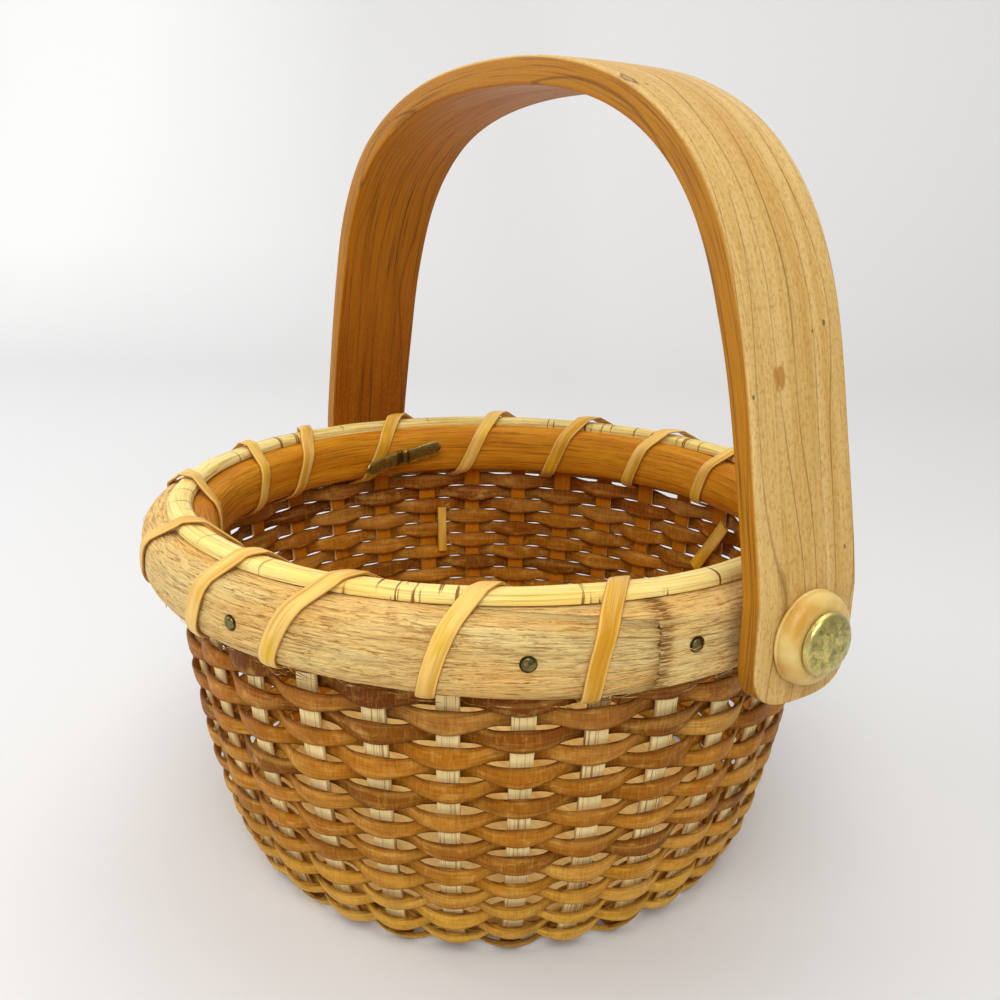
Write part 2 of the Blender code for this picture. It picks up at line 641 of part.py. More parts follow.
def nail_seat(angle):
    """Radius of the outer rim's face under a nail, lower just past the lap."""
    past = (angle - LAP_ANGLE) % FULL_TURN / (LAP_SEGMENTS * RIM_STEP_ANGLE)
    return LAP_UNDER_RADIUS + (RIM_RADIUS - LAP_UNDER_RADIUS) * min(1.0, past)


def build_nail(number, angle, material):
    """Small nail: a low head on the outer rim and a straight shank in its hole."""
    seat = nail_seat(angle) + SEAT_GAP / 2
    profile = [
        (NAIL_SHANK_RADIUS, seat - NAIL_LENGTH),
        (NAIL_SHANK_RADIUS, seat),
        (NAIL_HEAD_RADIUS, seat),
        (NAIL_HEAD_RADIUS, seat + NAIL_HEAD_RISE / 2),
        (NAIL_HEAD_RADIUS / 2, seat + NAIL_HEAD_RISE),
    ]
    outward = around(angle, 1.0, 0.0)
    sideways = around(angle + math.pi / 2, 1.0, 0.0)
    upward = np.array([0.0, 0.0, 1.0])
    turn = np.arange(NAIL_SIDES) * FULL_TURN / NAIL_SIDES
    circle = np.outer(np.cos(turn), sideways) + np.outer(np.sin(turn), upward)
    rings = [outward * out + upward * OUTER_RIM_MIDDLE + radius * circle for radius, out in profile]
    return lofted("rim_nail_%d" % number, rings, material)


def bore_rims(outer_rim, inner_rim, material):
    """Holes for the brads through both rims and blind holes for the nails in the outer one."""
    for side in (-1, 1):
        centre = (side * RIM_RADIUS, PIVOT_OFFSET, PIVOT_HEIGHT)
        bar = round_bar("brad_bore_%d" % side, centre, (1, 0, 0), PIVOT_HOLE_RADIUS, RIM_RADIUS,
                        PIVOT_HOLE_SIDES, material)
        combine(outer_rim, bar, "DIFFERENCE")
        combine(inner_rim, bar, "DIFFERENCE")
    for number, degrees in enumerate(NAIL_DEGREES, 1):
        angle = math.radians(degrees)
        bar = round_bar("nail_bore_%d" % number, around(angle, nail_seat(angle), OUTER_RIM_MIDDLE),
                        around(angle, 1.0, 0.0), NAIL_SHANK_RADIUS + SEAT_GAP,
                        2 * (NAIL_LENGTH + SEAT_GAP), NAIL_SIDES, material)
        combine(outer_rim, bar, "DIFFERENCE")


def bore_handle(handle, material):
    """Pivot holes through both ears."""
    for side in (-1, 1):
        centre = (side * (HANDLE_OUTER_X + HANDLE_INNER_X) / 2, PIVOT_OFFSET, PIVOT_HEIGHT)
        bar = round_bar("ear_bore_%d" % side, centre, (1, 0, 0), PIVOT_HOLE_RADIUS,
                        HANDLE_THICKNESS + 2 * CUT_OVERRUN, PIVOT_HOLE_SIDES, material)
        combine(handle, bar, "DIFFERENCE")


def main():
    """Clear the scene and build every piece."""
    for item in list(bpy.data.objects):
        bpy.data.objects.remove(item, do_unlink=True)
    base_wood = new_material("base_wood", (0.42, 0.24, 0.09), 0.55)
    stake_cane = new_material("stake_cane", (0.82, 0.66, 0.38), 0.6)
    weaver_cane = new_material("weaver_cane", (0.46, 0.25, 0.08), 0.5)
    rim_wood = new_material("rim_wood", (0.68, 0.46, 0.20), 0.6)
    inner_rim_wood = new_material("inner_rim_wood", (0.58, 0.31, 0.09), 0.5)
    filler_cane = new_material("filler_cane", (0.85, 0.63, 0.25), 0.5)
    lashing_cane = new_material("lashing_cane", (0.62, 0.36, 0.11), 0.4)
    handle_wood = new_material("handle_wood", (0.66, 0.45, 0.20), 0.5)
    bone = new_material("bone", (0.86, 0.66, 0.30), 0.35)
    aged_brass = new_material("aged_brass", (0.42, 0.38, 0.16), 0.35, 1.0)

    build_base(base_wood)
    for index in range(STAKE_COUNT):
        build_stake(index, stake_cane)
    splices = (0, *WEAVER_SPLICE_STEPS, WEAVER_STEPS)
    for label, first, last in zip(("lower", "middle", "upper"), splices, splices[1:]):
        build_weaver("weaver_" + label, first, last, weaver_cane)
    outer_rim = build_outer_rim(rim_wood)
    inner_rim = build_inner_rim(inner_rim_wood)
    bore_rims(outer_rim, inner_rim, rim_wood)
    build_filler(filler_cane)
    build_lashing(lashing_cane)
    for place in TAIL_PLACES:
        build_tail(*place, lashing_cane)
    bore_handle(build_handle(handle_wood), handle_wood)
    for label, side, tilt in (("near", 1, 0.0), ("far", -1, FAR_LEG_TILT)):
        build_washer("washer_" + label, side, bone)
        build_brad("brad_" + label, side, tilt, aged_brass)
    for number, degrees in enumerate(NAIL_DEGREES, 1):
        build_nail(number, math.radians(degrees), aged_brass)


main()
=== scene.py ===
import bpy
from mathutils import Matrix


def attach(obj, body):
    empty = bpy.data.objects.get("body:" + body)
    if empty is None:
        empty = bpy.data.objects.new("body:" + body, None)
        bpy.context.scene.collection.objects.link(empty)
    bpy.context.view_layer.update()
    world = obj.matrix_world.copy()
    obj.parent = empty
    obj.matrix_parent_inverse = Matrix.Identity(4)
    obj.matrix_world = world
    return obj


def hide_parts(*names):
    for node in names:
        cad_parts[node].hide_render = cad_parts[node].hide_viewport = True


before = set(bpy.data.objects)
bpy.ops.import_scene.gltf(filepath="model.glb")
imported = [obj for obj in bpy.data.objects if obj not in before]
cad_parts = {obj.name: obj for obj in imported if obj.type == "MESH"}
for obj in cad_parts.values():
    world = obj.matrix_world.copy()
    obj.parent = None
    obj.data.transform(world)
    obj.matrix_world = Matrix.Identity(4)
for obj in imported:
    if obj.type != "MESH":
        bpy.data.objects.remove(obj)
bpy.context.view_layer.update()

import logging
import math
from dataclasses import dataclass, field
from enum import Enum
from typing import Callable, Optional, Sequence

import bpy
import numpy as np
from mathutils import Matrix

LOG = logging.getLogger("basket")
TAU = 2.0 * math.pi
NAIL_DEGREES = (-69.3, -29.4, -7.2, 42.7, 83.8, 125.0, 152.0, 214.5)
SIDES = (("near", 1), ("far", -1))
ZERO = np.zeros((1, 1))
# Places of the share and of the two colours on a colour mix node.
MIX_INPUTS = (0, 6, 7)
MIX_OUTPUT = 2


class Body(Enum):
    """The two bodies that the pieces ride on."""

    BASKET = "basket"
    HANDLE = "handle"


class Slot(Enum):
    """The record's material slots."""

    BASE = "base_wood"
    STAKE = "stake_cane"
    WEAVER = "weaver_cane"
    RIM = "rim_wood"
    INNER_RIM = "inner_rim_wood"
    FILLER = "filler_cane"
    LASHING = "lashing_cane"
    HANDLE = "handle_wood"
    BONE = "bone"
    BRASS = "aged_brass"


Array = np.ndarray
Socket = bpy.types.NodeSocket
Material = bpy.types.Material
Item = bpy.types.Object
Color = tuple[float, float, float]
Stops = Sequence[tuple[float, Color]]
# Size of a random wave, and the samples between its knots.
Wave = tuple[float, float]
# Points round a section, its power and its crown, as rounded_section takes them.
Section = tuple[int, float, float]


def linear(red: int, green: int, blue: int) -> Color:
    """Turn a display colour into the linear colour a shader takes.

    Args:
        red: Red, 0 to 255.
        green: Green, 0 to 255.
        blue: Blue, 0 to 255.

    Returns:
        The linear colour, each part by the sRGB curve.
    """
    parts = np.array([red, green, blue]) / 255.0
    low = parts / 12.92
    high = ((parts + 0.055) / 1.055) ** 2.4
    return tuple(float(x) for x in np.where(parts <= 0.04045, low, high))


class Graph:
    """A Principled material and the nodes that feed it."""

    def __init__(self, name: str, roughness: float, metallic: float = 0.0,
                 specular: float = 0.2) -> None:
        """Start a material.

        Args:
            name: The material's name.
            roughness: Its plain roughness, until a node feeds it.
            metallic: 1 for a metal.
            specular: Strength of the highlight, 0.5 for glass or polish.
        """
        self.material = bpy.data.materials.new(name)
        self.material.use_nodes = True
        self.tree = self.material.node_tree
        self.shader = self.tree.nodes["Principled BSDF"]
        self.shader.inputs["Roughness"].default_value = roughness
        self.shader.inputs["Specular IOR Level"].default_value = 0.5 if metallic else specular
        self.shader.inputs["Metallic"].default_value = metallic

    def add(self, kind: str, settings: Optional[dict] = None, **inputs: object) -> bpy.types.Node:
        """Add a node.

        Args:
            kind: The node's Blender type.
            settings: Properties of the node itself.
            **inputs: A value or an output for each input, by its name with _ for a space, or by
                its place, as i0 or i1.

        Returns:
            The node.
        """
        node = self.tree.nodes.new(kind)
        for key, value in (settings or {}).items():
            setattr(node, key, value)
        for key, value in inputs.items():
            place = int(key[1:]) if key[0] == "i" and key[1:].isdigit() else key.replace("_", " ")
            self.feed(node.inputs[place], value)
        return node

    def feed(self, socket: Socket, value: object) -> None:
        """Link an output to a socket, or set a plain value on it.

        Args:
            socket: The input to feed.
            value: An output, or a plain number, vector or colour.
        """
        if isinstance(value, Socket):
            self.tree.links.new(value, socket)
        elif socket.type == "RGBA" and len(value) == 3:
            socket.default_value = (*value, 1.0)
        else:
            socket.default_value = value

    def grain_place(self, along: float, across: float, shift: float = 0.0) -> Socket:
        """Coordinates that follow a piece's length, from its UV map, which is in metres.

        Args:
            along: Size of one grain along the piece, in metres.
            across: Size of one grain across it, in metres.
            shift: Moves the pattern.

        Returns:
            The coordinates, in grains.
        """
        place = self.add("ShaderNodeUVMap", {"uv_map": "UVMap"}).outputs["UV"]
        mapping = self.add("ShaderNodeMapping", Vector=place, Scale=(1 / along, 1 / across, 1.0),
                           Location=(shift, shift * 1.7, shift * 0.6))
        return mapping.outputs["Vector"]

    def object_place(self, size: float, stretch: Sequence[float] = (1, 1, 1),
                     shift: float = 0.0) -> Socket:
        """Object coordinates in units of a size.

        Args:
            size: Size of one grain, in metres.
            stretch: Grains to one size along x, y and z. Less than 1 draws them out.
            shift: Moves the pattern.

        Returns:
            The coordinates, in grains.
        """
        place = self.add("ShaderNodeTexCoord").outputs["Object"]
        mapping = self.add("ShaderNodeMapping", Vector=place, Scale=tuple(s / size for s in stretch),
                           Location=(shift, shift, shift))
        return mapping.outputs["Vector"]

    def noise(self, place: Socket, detail: float = 3.0, rough: float = 0.55,
              warp: float = 0.0) -> Socket:
        """Soft noise, 0 to 1, about one swing to each grain, and bent by itself as far as warp."""
        return self.add("ShaderNodeTexNoise", Vector=place, Scale=1.0, Detail=detail, Roughness=rough,
                        Distortion=warp).outputs["Fac"]

    def ramp(self, value: object, stops: Stops) -> Socket:
        """Colour from a value by stops of place and colour.

        Args:
            value: The value, 0 to 1.
            stops: Place and colour of each stop, in order.

        Returns:
            The colour.
        """
        node = self.add("ShaderNodeValToRGB", Fac=value)
        points = node.color_ramp.elements
        while len(points) < len(stops):
            points.new(0.5)
        for point, (place, color) in zip(points, stops):
            point.position = place
            point.color = (*color, 1.0)
        return node.outputs["Color"]

    def span(self, value: object, low: float, high: float, to_low: float = 0.0,
             to_high: float = 1.0) -> Socket:
        """Map a value from low and high to to_low and to_high, and clamp it there."""
        return self.add("ShaderNodeMapRange", {"clamp": True}, i0=value, i1=low, i2=high, i3=to_low,
                        i4=to_high).outputs[0]

    def math(self, operation: str, first: object, second: object = 0.0) -> Socket:
        """One operation on two values."""
        return self.add("ShaderNodeMath", {"operation": operation}, i0=first, i1=second).outputs[0]

    def mix(self, share: object, first: object, second: object) -> Socket:
        """Lay the second colour over the first by a share.

        Args:
            share: 0 for the first colour, 1 for the second.
            first: The colour below.
            second: The colour above.

        Returns:
            first * (1 - share) + second * share.
        """
        node = self.add("ShaderNodeMix", {"data_type": "RGBA"})
        for place, value in zip(MIX_INPUTS, (share, first, second)):
            self.feed(node.inputs[place], value)
        return node.outputs[MIX_OUTPUT]

    def stain(self, color: object, value: object, low: float, high: float, over: object,
              strength: float = 1.0) -> Socket:
        """Lay over on color, its share 0 where value is low and strength where value is high."""
        return self.mix(self.span(value, low, high, 0.0, strength), color, over)

    def value(self, name: str) -> Socket:
        """A number that the mesh carries at each point."""
        return self.add("ShaderNodeAttribute", {"attribute_name": name}).outputs["Fac"]

    def bump(self, height: Socket, depth: float) -> None:
        """Raise the surface by a height in units of a depth in metres."""
        node = self.add("ShaderNodeBump", Height=height, Distance=depth, Strength=1.0)
        self.feed(self.shader.inputs["Normal"], node.outputs["Normal"])

    def finish(self, color: Socket,
               rough: Optional[Socket] = None) -> Material:
        """Set the base colour, and the roughness where it varies.

        Args:
            color: The base colour.
            rough: The roughness, if it isn't the plain one.

        Returns:
            The material.
        """
        self.feed(self.shader.inputs["Base Color"], color)
        if rough is not None:
            self.feed(self.shader.inputs["Roughness"], rough)
        return self.material


@dataclass(frozen=True)
class WeaverFinish:
    """Aged flat reed: brown under the rim, ochre lower down and yellower at the foot."""

    top: Color = linear(154, 84, 20)
    middle: Color = linear(182, 114, 24)
    low: Color = linear(226, 172, 60)
    pale: Color = linear(234, 188, 96)
    dark: Color = linear(82, 36, 8)
    grain_length: float = 0.012
    grain_width: float = 0.00035
    roughness: float = 0.42

    def material(self) -> Material:
        """Colour by height and by each run's own tone, with fine grain along the reed and painted shade
        darkening its two edges.

        Returns:
            The material, which reads the attributes rise, tone and edge and the UV map.
        """
        g = Graph("weaver_cane", self.roughness, specular=0.06)
        patch = g.noise(g.grain_place(0.045, 0.05, 3.0), 2.0)
        rise = g.math("ADD", g.value("rise"), g.span(patch, 0.3, 0.7, -0.12, 0.12))
        base = g.ramp(rise, [(0.05, self.low), (0.42, self.middle), (0.72, self.middle),
                             (0.92, self.top)])
        fine = g.noise(g.grain_place(self.grain_length, self.grain_width), 4.0, 0.6)
        broad = g.noise(g.grain_place(0.02, 0.0016, 9.0), 3.0)
        crackle = g.noise(g.grain_place(0.00040, 0.0032, 2.0), 3.0, 0.6)
        blotch = g.noise(g.grain_place(0.0040, 0.0022, 6.0), 3.0, 0.6)
        color = g.stain(base, g.value("tone"), 0.5, 1.0, self.pale, 0.6)
        color = g.stain(color, g.value("tone"), 0.5, 0.0, self.dark, 0.6)
        color = g.stain(color, blotch, 0.48, 0.7, self.dark, 0.24)
        color = g.stain(color, blotch, 0.46, 0.28, self.pale, 0.4)
        color = g.stain(color, fine, 0.50, 0.70, self.dark, 0.44)
        color = g.stain(color, broad, 0.5, 0.8, self.pale, 0.4)
        color = g.stain(color, crackle, 0.52, 0.68, self.dark, 0.24)
        color = g.stain(color, crackle, 0.46, 0.3, self.pale, 0.18)
        # Painted shade: the reed's two edges, where its thickness lies in shadow, darken towards the
        # dark colour.
        sides = g.span(g.value("edge"), 0.64, 0.98, 0.0, 0.8)
        sides = g.math("MULTIPLY", sides, g.span(fine, 0.36, 0.6, 0.45, 1.0))
        color = g.mix(sides, color, self.dark)
        g.bump(g.math("ADD", g.math("SUBTRACT", fine, g.math("MULTIPLY", crackle, 1.3)),
                      g.math("MULTIPLY", broad, 0.8)), 0.00015)
        return g.finish(color, g.span(broad, 0.3, 0.7, self.roughness - 0.08, self.roughness + 0.12))


@dataclass(frozen=True)
class StakeFinish:
    """Pale split cane with fine lines along it."""

    pale: Color = linear(255, 238, 182)
    straw: Color = linear(255, 220, 142)
    line: Color = linear(150, 92, 40)
    honey_and_painted_shade: Color = linear(200, 118, 8)
    brown: Color = linear(122, 72, 16)

    def material(self) -> Material:
        """Pale colour with fine dark lines; honey on the inner faces, partly the cane's own warmer
        colour and partly painted shade inside the basket; painted shade, brown and honey, at the foot.

        Returns:
            The material, which reads the attributes inner and foot, the latter for painted shade near
            the base.
        """
        g = Graph("stake_cane", 0.55, specular=0.12)
        fine = g.noise(g.grain_place(0.035, 0.00036), 3.0, 0.6)
        broad = g.noise(g.grain_place(0.03, 0.0014, 5.0), 2.0)
        color = g.mix(broad, self.pale, self.straw)
        # Honey on the inner faces: partly the cane's own warmer colour, partly painted shade inside the
        # basket.
        color = g.mix(g.value("inner"), color, self.honey_and_painted_shade)
        # Painted shade: brown near the base, under the last row.
        color = g.mix(g.math("MULTIPLY", g.value("foot"), 0.7), color, self.brown)
        color = g.stain(color, fine, 0.55, 0.63, self.line, 0.75)
        g.bump(g.math("MULTIPLY", fine, -1.0), 0.00016)
        return g.finish(color)


@dataclass(frozen=True)
class FibreWoodFinish:
    """Split wood with fibres along it, as on the rims and the filler."""

    name: str
    light: Color
    body: Color
    streak: Color
    fibre_width: float = 0.0005
    fibre_length: float = 0.022
    streak_share: float = 0.5
    depth: float = 0.00022
    roughness: float = 0.6
    crack_share: float = 0.0

    def material(self) -> Material:
        """Fibres in three sizes, a slow change of colour and, where asked, short cracks across.

        Returns:
            The material, which reads the attribute of wear and painted shade.
        """
        g = Graph(self.name, self.roughness, specular=0.12)
        slow = g.noise(g.grain_place(0.035, 0.006, 2.0), 2.0)
        hair = g.noise(g.grain_place(self.fibre_length * 0.35, self.fibre_width * 0.9, 11.0), 3.0,
                       0.7, 0.7)
        fine = g.noise(g.grain_place(self.fibre_length, self.fibre_width), 5.0, 0.62, 0.2)
        coarse = g.noise(g.grain_place(self.fibre_length * 1.6, self.fibre_width * 4.5, 7.0), 3.0,
                         0.55, 0.4)
        color = g.mix(g.span(slow, 0.35, 0.68), self.light, self.body)
        color = g.stain(color, coarse, 0.55, 0.8, self.streak, self.streak_share * 0.6)
        color = g.stain(color, fine, 0.54, 0.66, self.streak, self.streak_share * 0.9)
        color = g.stain(color, hair, 0.54, 0.62, self.streak, self.streak_share * 0.9)
        color = g.stain(color, hair, 0.44, 0.32, self.light, 0.7)
        height = g.math("SUBTRACT", g.math("MULTIPLY", coarse, -1.4), g.math("ADD", fine, hair))
        if self.crack_share > 0:
            cracks = g.noise(g.grain_place(0.0012, 0.02, 4.0), 2.0, 0.5, 0.3)
            cut = g.span(cracks, 0.63, 0.68, 0.0, 1.0)
            color = g.mix(g.math("MULTIPLY", cut, self.crack_share), color, self.streak)
            height = g.math("SUBTRACT", height, g.math("MULTIPLY", cut, 1.5))
        # Darkening by the attribute of wear and shade: real wear at the hoops' frayed tips, painted
        # shade on the strands under the outer hoop, and the filler's darker far side.
        wear_and_shade_share = g.math("MULTIPLY", g.value("wear_and_shade"), g.span(hair, 0.42, 0.56, 0.25, 1.0))
        darker = tuple(0.75 * part for part in self.streak)
        color = g.mix(g.math("MULTIPLY", wear_and_shade_share, 0.95), color, darker)
        g.bump(height, self.depth)
        return g.finish(color, g.span(fine, 0.3, 0.7, self.roughness - 0.1, self.roughness + 0.1))


@dataclass(frozen=True)
class LashingFinish:
    """Glossy split cane, amber with paler and darker runs and darker edges."""

    amber: Color = linear(204, 146, 32)
    yellow: Color = linear(228, 180, 20)
    pale: Color = linear(240, 198, 110)
    dark: Color = linear(140, 80, 10)
    roughness: float = 0.30

    def material(self) -> Material:
        """Runs of amber along the strip, dark at its two edges.

        Returns:
            The material, which reads the attribute edge.
        """
        g = Graph("lashing_cane", self.roughness)
        run = g.noise(g.grain_place(0.03, 0.004, 1.0), 2.0)
        fine = g.noise(g.grain_place(0.02, 0.0004, 6.0), 4.0, 0.6)
        blot = g.noise(g.grain_place(0.011, 0.003, 8.0), 2.0)
        color = g.mix(g.span(run, 0.40, 0.64), self.amber, self.pale)
        color = g.stain(color, blot, 0.52, 0.68, self.yellow, 0.8)
        color = g.stain(color, fine, 0.52, 0.75, self.dark, 0.5)
        edge = g.value("edge")
        color = g.stain(color, edge, 0.66, 0.82, self.pale, 0.6)
        color = g.stain(color, edge, 0.9, 1.0, self.dark, 0.85)
        g.bump(fine, 0.00014)
        return g.finish(color, g.span(fine, 0.3, 0.7, self.roughness - 0.06, self.roughness + 0.14))


@dataclass(frozen=True)
class Mark:
    """A small stain on the handle: where it is along and across the strap, and its half sizes."""

    along: float
    across: float
    half_length: float
    half_width: float
    color: Color
    strength: float = 0.8


@dataclass(frozen=True)
class HandleFinish:
    """Bent wood: pale outside, amber on the sawn sides and inside, with long grain lines."""

    pale: Color = linear(220, 188, 122)
    straw: Color = linear(202, 162, 90)
    amber: Color = linear(178, 118, 26)
    inner: Color = linear(196, 124, 20)
    inner_low_shade: Color = linear(152, 78, 6)
    line: Color = linear(104, 58, 10)
    ring_width: float = 0.0043
    marks: tuple[Mark, ...] = ()

    def material(self) -> Material:
        """Grain along the strap, warmer away from the outer face, with painted shade darker towards the
        bottom of the inner face and a few marks.

        Returns:
            The material, which reads the attribute depth: 0 outside, 1 inside, and the UV map.
        """
        g = Graph("handle_wood", 0.45, specular=0.14)
        slow = g.noise(g.grain_place(0.09, 0.006, 2.0), 3.0, 0.5, 0.6)
        fine = g.noise(g.grain_place(0.03, 0.00035, 4.0), 5.0, 0.6, 0.15)
        pores = g.noise(g.grain_place(0.010, 0.00022, 8.0), 2.0, 0.5)
        rings = g.noise(g.grain_place(0.22, 0.0026, 5.0), 2.0, 0.4, 0.5)
        speck = g.noise(g.grain_place(0.0011, 0.0006, 12.0), 3.0, 0.65)
        outer = g.mix(g.span(slow, 0.35, 0.68), self.pale, self.straw)
        depth = g.value("depth")
        beyond = g.span(depth, 0.05, 0.14)
        height = g.add("ShaderNodeSeparateXYZ", i0=g.object_place(1.0)).outputs["Z"]
        # Painted shade: the inner face darkens towards the bottom.
        inner = g.mix(g.span(height, 0.165, 0.095), self.inner, self.inner_low_shade)
        place = g.add("ShaderNodeUVMap", {"uv_map": "UVMap"}).outputs["UV"]
        across = g.add("ShaderNodeSeparateXYZ", i0=place).outputs["Y"]
        bent = g.noise(g.grain_place(0.085, 0.014, 6.0), 1.0)
        phase = g.math("ADD", g.math("DIVIDE", across, self.ring_width),
                       g.math("MULTIPLY", bent, 3.2))
        near_line = g.math("ABSOLUTE", g.math("SUBTRACT", g.math("FRACT", phase), 0.5))
        growth = g.math("MULTIPLY", g.span(near_line, 0.045, 0.0), g.span(slow, 0.25, 0.6, 0.2, 0.65))
        color = g.mix(beyond, outer, self.amber)
        color = g.stain(color, depth, 0.88, 0.97, inner)
        color = g.stain(color, rings, 0.5, 0.62, self.amber, 0.16)
        color = g.stain(color, speck, 0.48, 0.66, self.amber, 0.5)
        color = g.mix(growth, color, self.line)
        lines = g.math("MULTIPLY", g.span(fine, 0.50, 0.68),
                       g.math("ADD", g.math("MULTIPLY", beyond, 0.65), 0.18))
        color = g.mix(lines, color, self.line)
        color = g.stain(color, pores, 0.62, 0.74, self.line, 0.35)
        ragged = g.noise(g.grain_place(0.004, 0.0012, 3.0), 3.0)
        for mark in self.marks:
            moved = g.add("ShaderNodeMapping", {"vector_type": "TEXTURE"}, Vector=place,
                          Location=(mark.along, mark.across, 0),
                          Scale=(mark.half_length, mark.half_width, 1))
            reach = g.add("ShaderNodeVectorMath", {"operation": "LENGTH"},
                          i0=moved.outputs[0]).outputs["Value"]
            edge = g.math("ADD", reach, g.span(ragged, 0.3, 0.7, -0.35, 0.35))
            share = g.math("MULTIPLY", g.span(edge, 1.05, 0.75), g.span(depth, 0.2, 0.1))
            color = g.mix(g.math("MULTIPLY", share, mark.strength), color, mark.color)
        relief = g.math("SUBTRACT", g.math("MULTIPLY", speck, -0.8), g.math("ADD", fine, growth))
        g.bump(relief, 0.00014)
        return g.finish(color, g.span(slow, 0.3, 0.7, 0.38, 0.52))


@dataclass(frozen=True)
class BoneFinish:
    """Cream bone or ivory, yellower in patches."""

    cream: Color = linear(222, 194, 118)
    yellow: Color = linear(202, 150, 58)

    def material(self) -> Material:
        """Mottled cream with a little light let in.

        Returns:
            The material.
        """
        g = Graph("bone", 0.28, specular=0.4)
        patch = g.noise(g.object_place(0.009), 3.0, 0.5, 0.4)
        fine = g.noise(g.object_place(0.0008, (1, 1, 6)), 3.0)
        color = g.mix(g.span(patch, 0.42, 0.66), self.cream, self.yellow)
        color = g.stain(color, fine, 0.55, 0.8, self.yellow, 0.2)
        g.shader.inputs["Subsurface Weight"].default_value = 0.15
        g.shader.inputs["Subsurface Radius"].default_value = (0.002, 0.0012, 0.0006)
        g.shader.inputs["Subsurface Scale"].default_value = 1.0
        g.bump(fine, 0.00003)
        return g.finish(color)


@dataclass(frozen=True)
class BrassFinish:
    """Old brass under a mottled green grey skin, brighter at the head's rim and along the legs' edges.
    """

    bright: Color = linear(214, 196, 120)
    olive: Color = linear(150, 146, 88)
    dark: Color = linear(70, 66, 34)
    shade_and_tarnish: Color = linear(44, 28, 8)

    def material(self) -> Material:
        """Mottled brass, brighter by the attribute edge and darkened by the attribute shade: painted
        shade on the brad legs and in their bends and round the nail flanges, and dark tarnish on the
        nail domes.

        Returns:
            The material.
        """
        g = Graph("aged_brass", 0.3, 1.0)
        skin = g.noise(g.object_place(0.0016), 5.0, 0.65, 0.5)
        spots = g.noise(g.object_place(0.0006, shift=4.0), 3.0)
        color = g.mix(g.span(skin, 0.4, 0.62), self.bright, self.olive)
        color = g.stain(color, spots, 0.58, 0.74, self.dark, 0.6)
        # Darkening by the attribute shade: painted shade on the brad legs, in their bends and round the
        # nail flanges, and tarnish on the nail domes.
        shade = g.math("MULTIPLY", g.value("shade"), g.span(skin, 0.3, 0.6, 0.75, 1.0))
        color = g.mix(shade, color, self.shade_and_tarnish)
        color = g.mix(g.value("edge"), color, self.bright)
        g.bump(g.math("ADD", skin, spots), 0.00006)
        return g.finish(color, g.span(skin, 0.35, 0.7, 0.22, 0.46))


@dataclass(frozen=True)
class BaseFinish:
    """Turned wood for the base."""

    light: Color = linear(252, 218, 140)
    dark: Color = linear(226, 170, 84)

    def material(self) -> Material:
        """Straight grain along x, broad and fine.

        Returns:
            The material.
        """
        g = Graph("base_wood", 0.5)
        grain = g.noise(g.object_place(0.004, (0.12, 1, 1)), 4.0, 0.6, 0.5)
        fine = g.noise(g.object_place(0.0006, (0.06, 1, 1), 3.0), 3.0)
        color = g.mix(g.span(grain, 0.35, 0.68), self.light, self.dark)
        color = g.stain(color, fine, 0.55, 0.8, self.dark, 0.5)
        g.bump(g.math("ADD", grain, fine), 0.0001)
        return g.finish(color)


def around(angle: Array, radius: Array, height: Array) -> Array:
    """Points from angle, radius and height round the basket's axis.

    Args:
        angle: Angle from the x axis.
        radius: Distance from the axis.
        height: Height over the floor.

    Returns:
        x = radius cos(angle), y = radius sin(angle), z = height, in the last axis.
    """
    flat = np.broadcast_arrays(radius * np.cos(angle), radius * np.sin(angle), height)
    return np.stack(flat, axis=-1)


def apart(angle: Array, middle: Array) -> Array:
    """Angle from a middle, between minus and plus half a turn."""
    return (angle - middle + math.pi) % TAU - math.pi


def bell(angle: Array, middle: float, reach: float) -> Array:
    """Bell of height 1 round a middle: exp(-(d / reach) ** 2 / 2), with d the angle from it."""
    return np.exp(-(apart(angle, middle) / reach) ** 2 / 2)


def with_ends(first: Sequence[float], columns: Sequence[Array],
              last: Sequence[float]) -> tuple[Array, ...]:
    """Columns with a first value put before each of them and a last one after it."""
    return tuple(np.concatenate([[low], column, [high]])
                 for low, column, high in zip(first, columns, last))


def run_length(first: Array, second: Array) -> Array:
    """Length of a flat path up to each point: the running sum of hypot(step first, step second)."""
    return np.concatenate([[0.0], np.cumsum(np.hypot(np.diff(first), np.diff(second)))])


def path_length(points: Array) -> Array:
    """Length of a path in space up to each of its points."""
    return np.concatenate([[0.0], np.cumsum(np.linalg.norm(np.diff(points, axis=0), axis=1))])


def unit(vectors: Array) -> Array:
    """Each vector divided by its length."""
    return vectors / np.linalg.norm(vectors, axis=-1, keepdims=True)


def rounded_section(width: float, thickness: float, count: int, power: float,
                    crown: float = 0.0) -> Array:
    """Flat section with rounded edges: a superellipse whose faces may be crowned.

    Args:
        width: Full width across.
        thickness: Full thickness at the middle.
        count: Points round it.
        power: 2 is an ellipse, more is squarer.
        crown: Share of the thickness that is lost at the edges.

    Returns:
        Rows of across and out, counterclockwise seen along the path.
    """
    turn = np.arange(count) * TAU / count
    across = np.sign(np.cos(turn)) * np.abs(np.cos(turn)) ** (2 / power)
    out = np.sign(np.sin(turn)) * np.abs(np.sin(turn)) ** (2 / power)
    out = out * (1 - crown * across ** 2)
    return np.stack([across * width / 2, out * thickness / 2], axis=1)


def widened(section: Array, width: Array) -> Array:
    """One section for each row, its across times that row's width.

    Args:
        section: Rows of across and out, one wide.
        width: Width of each row.

    Returns:
        The sections.
    """
    sections = np.repeat(section[None], len(width), axis=0)
    sections[..., 0] *= width[:, None]
    return sections


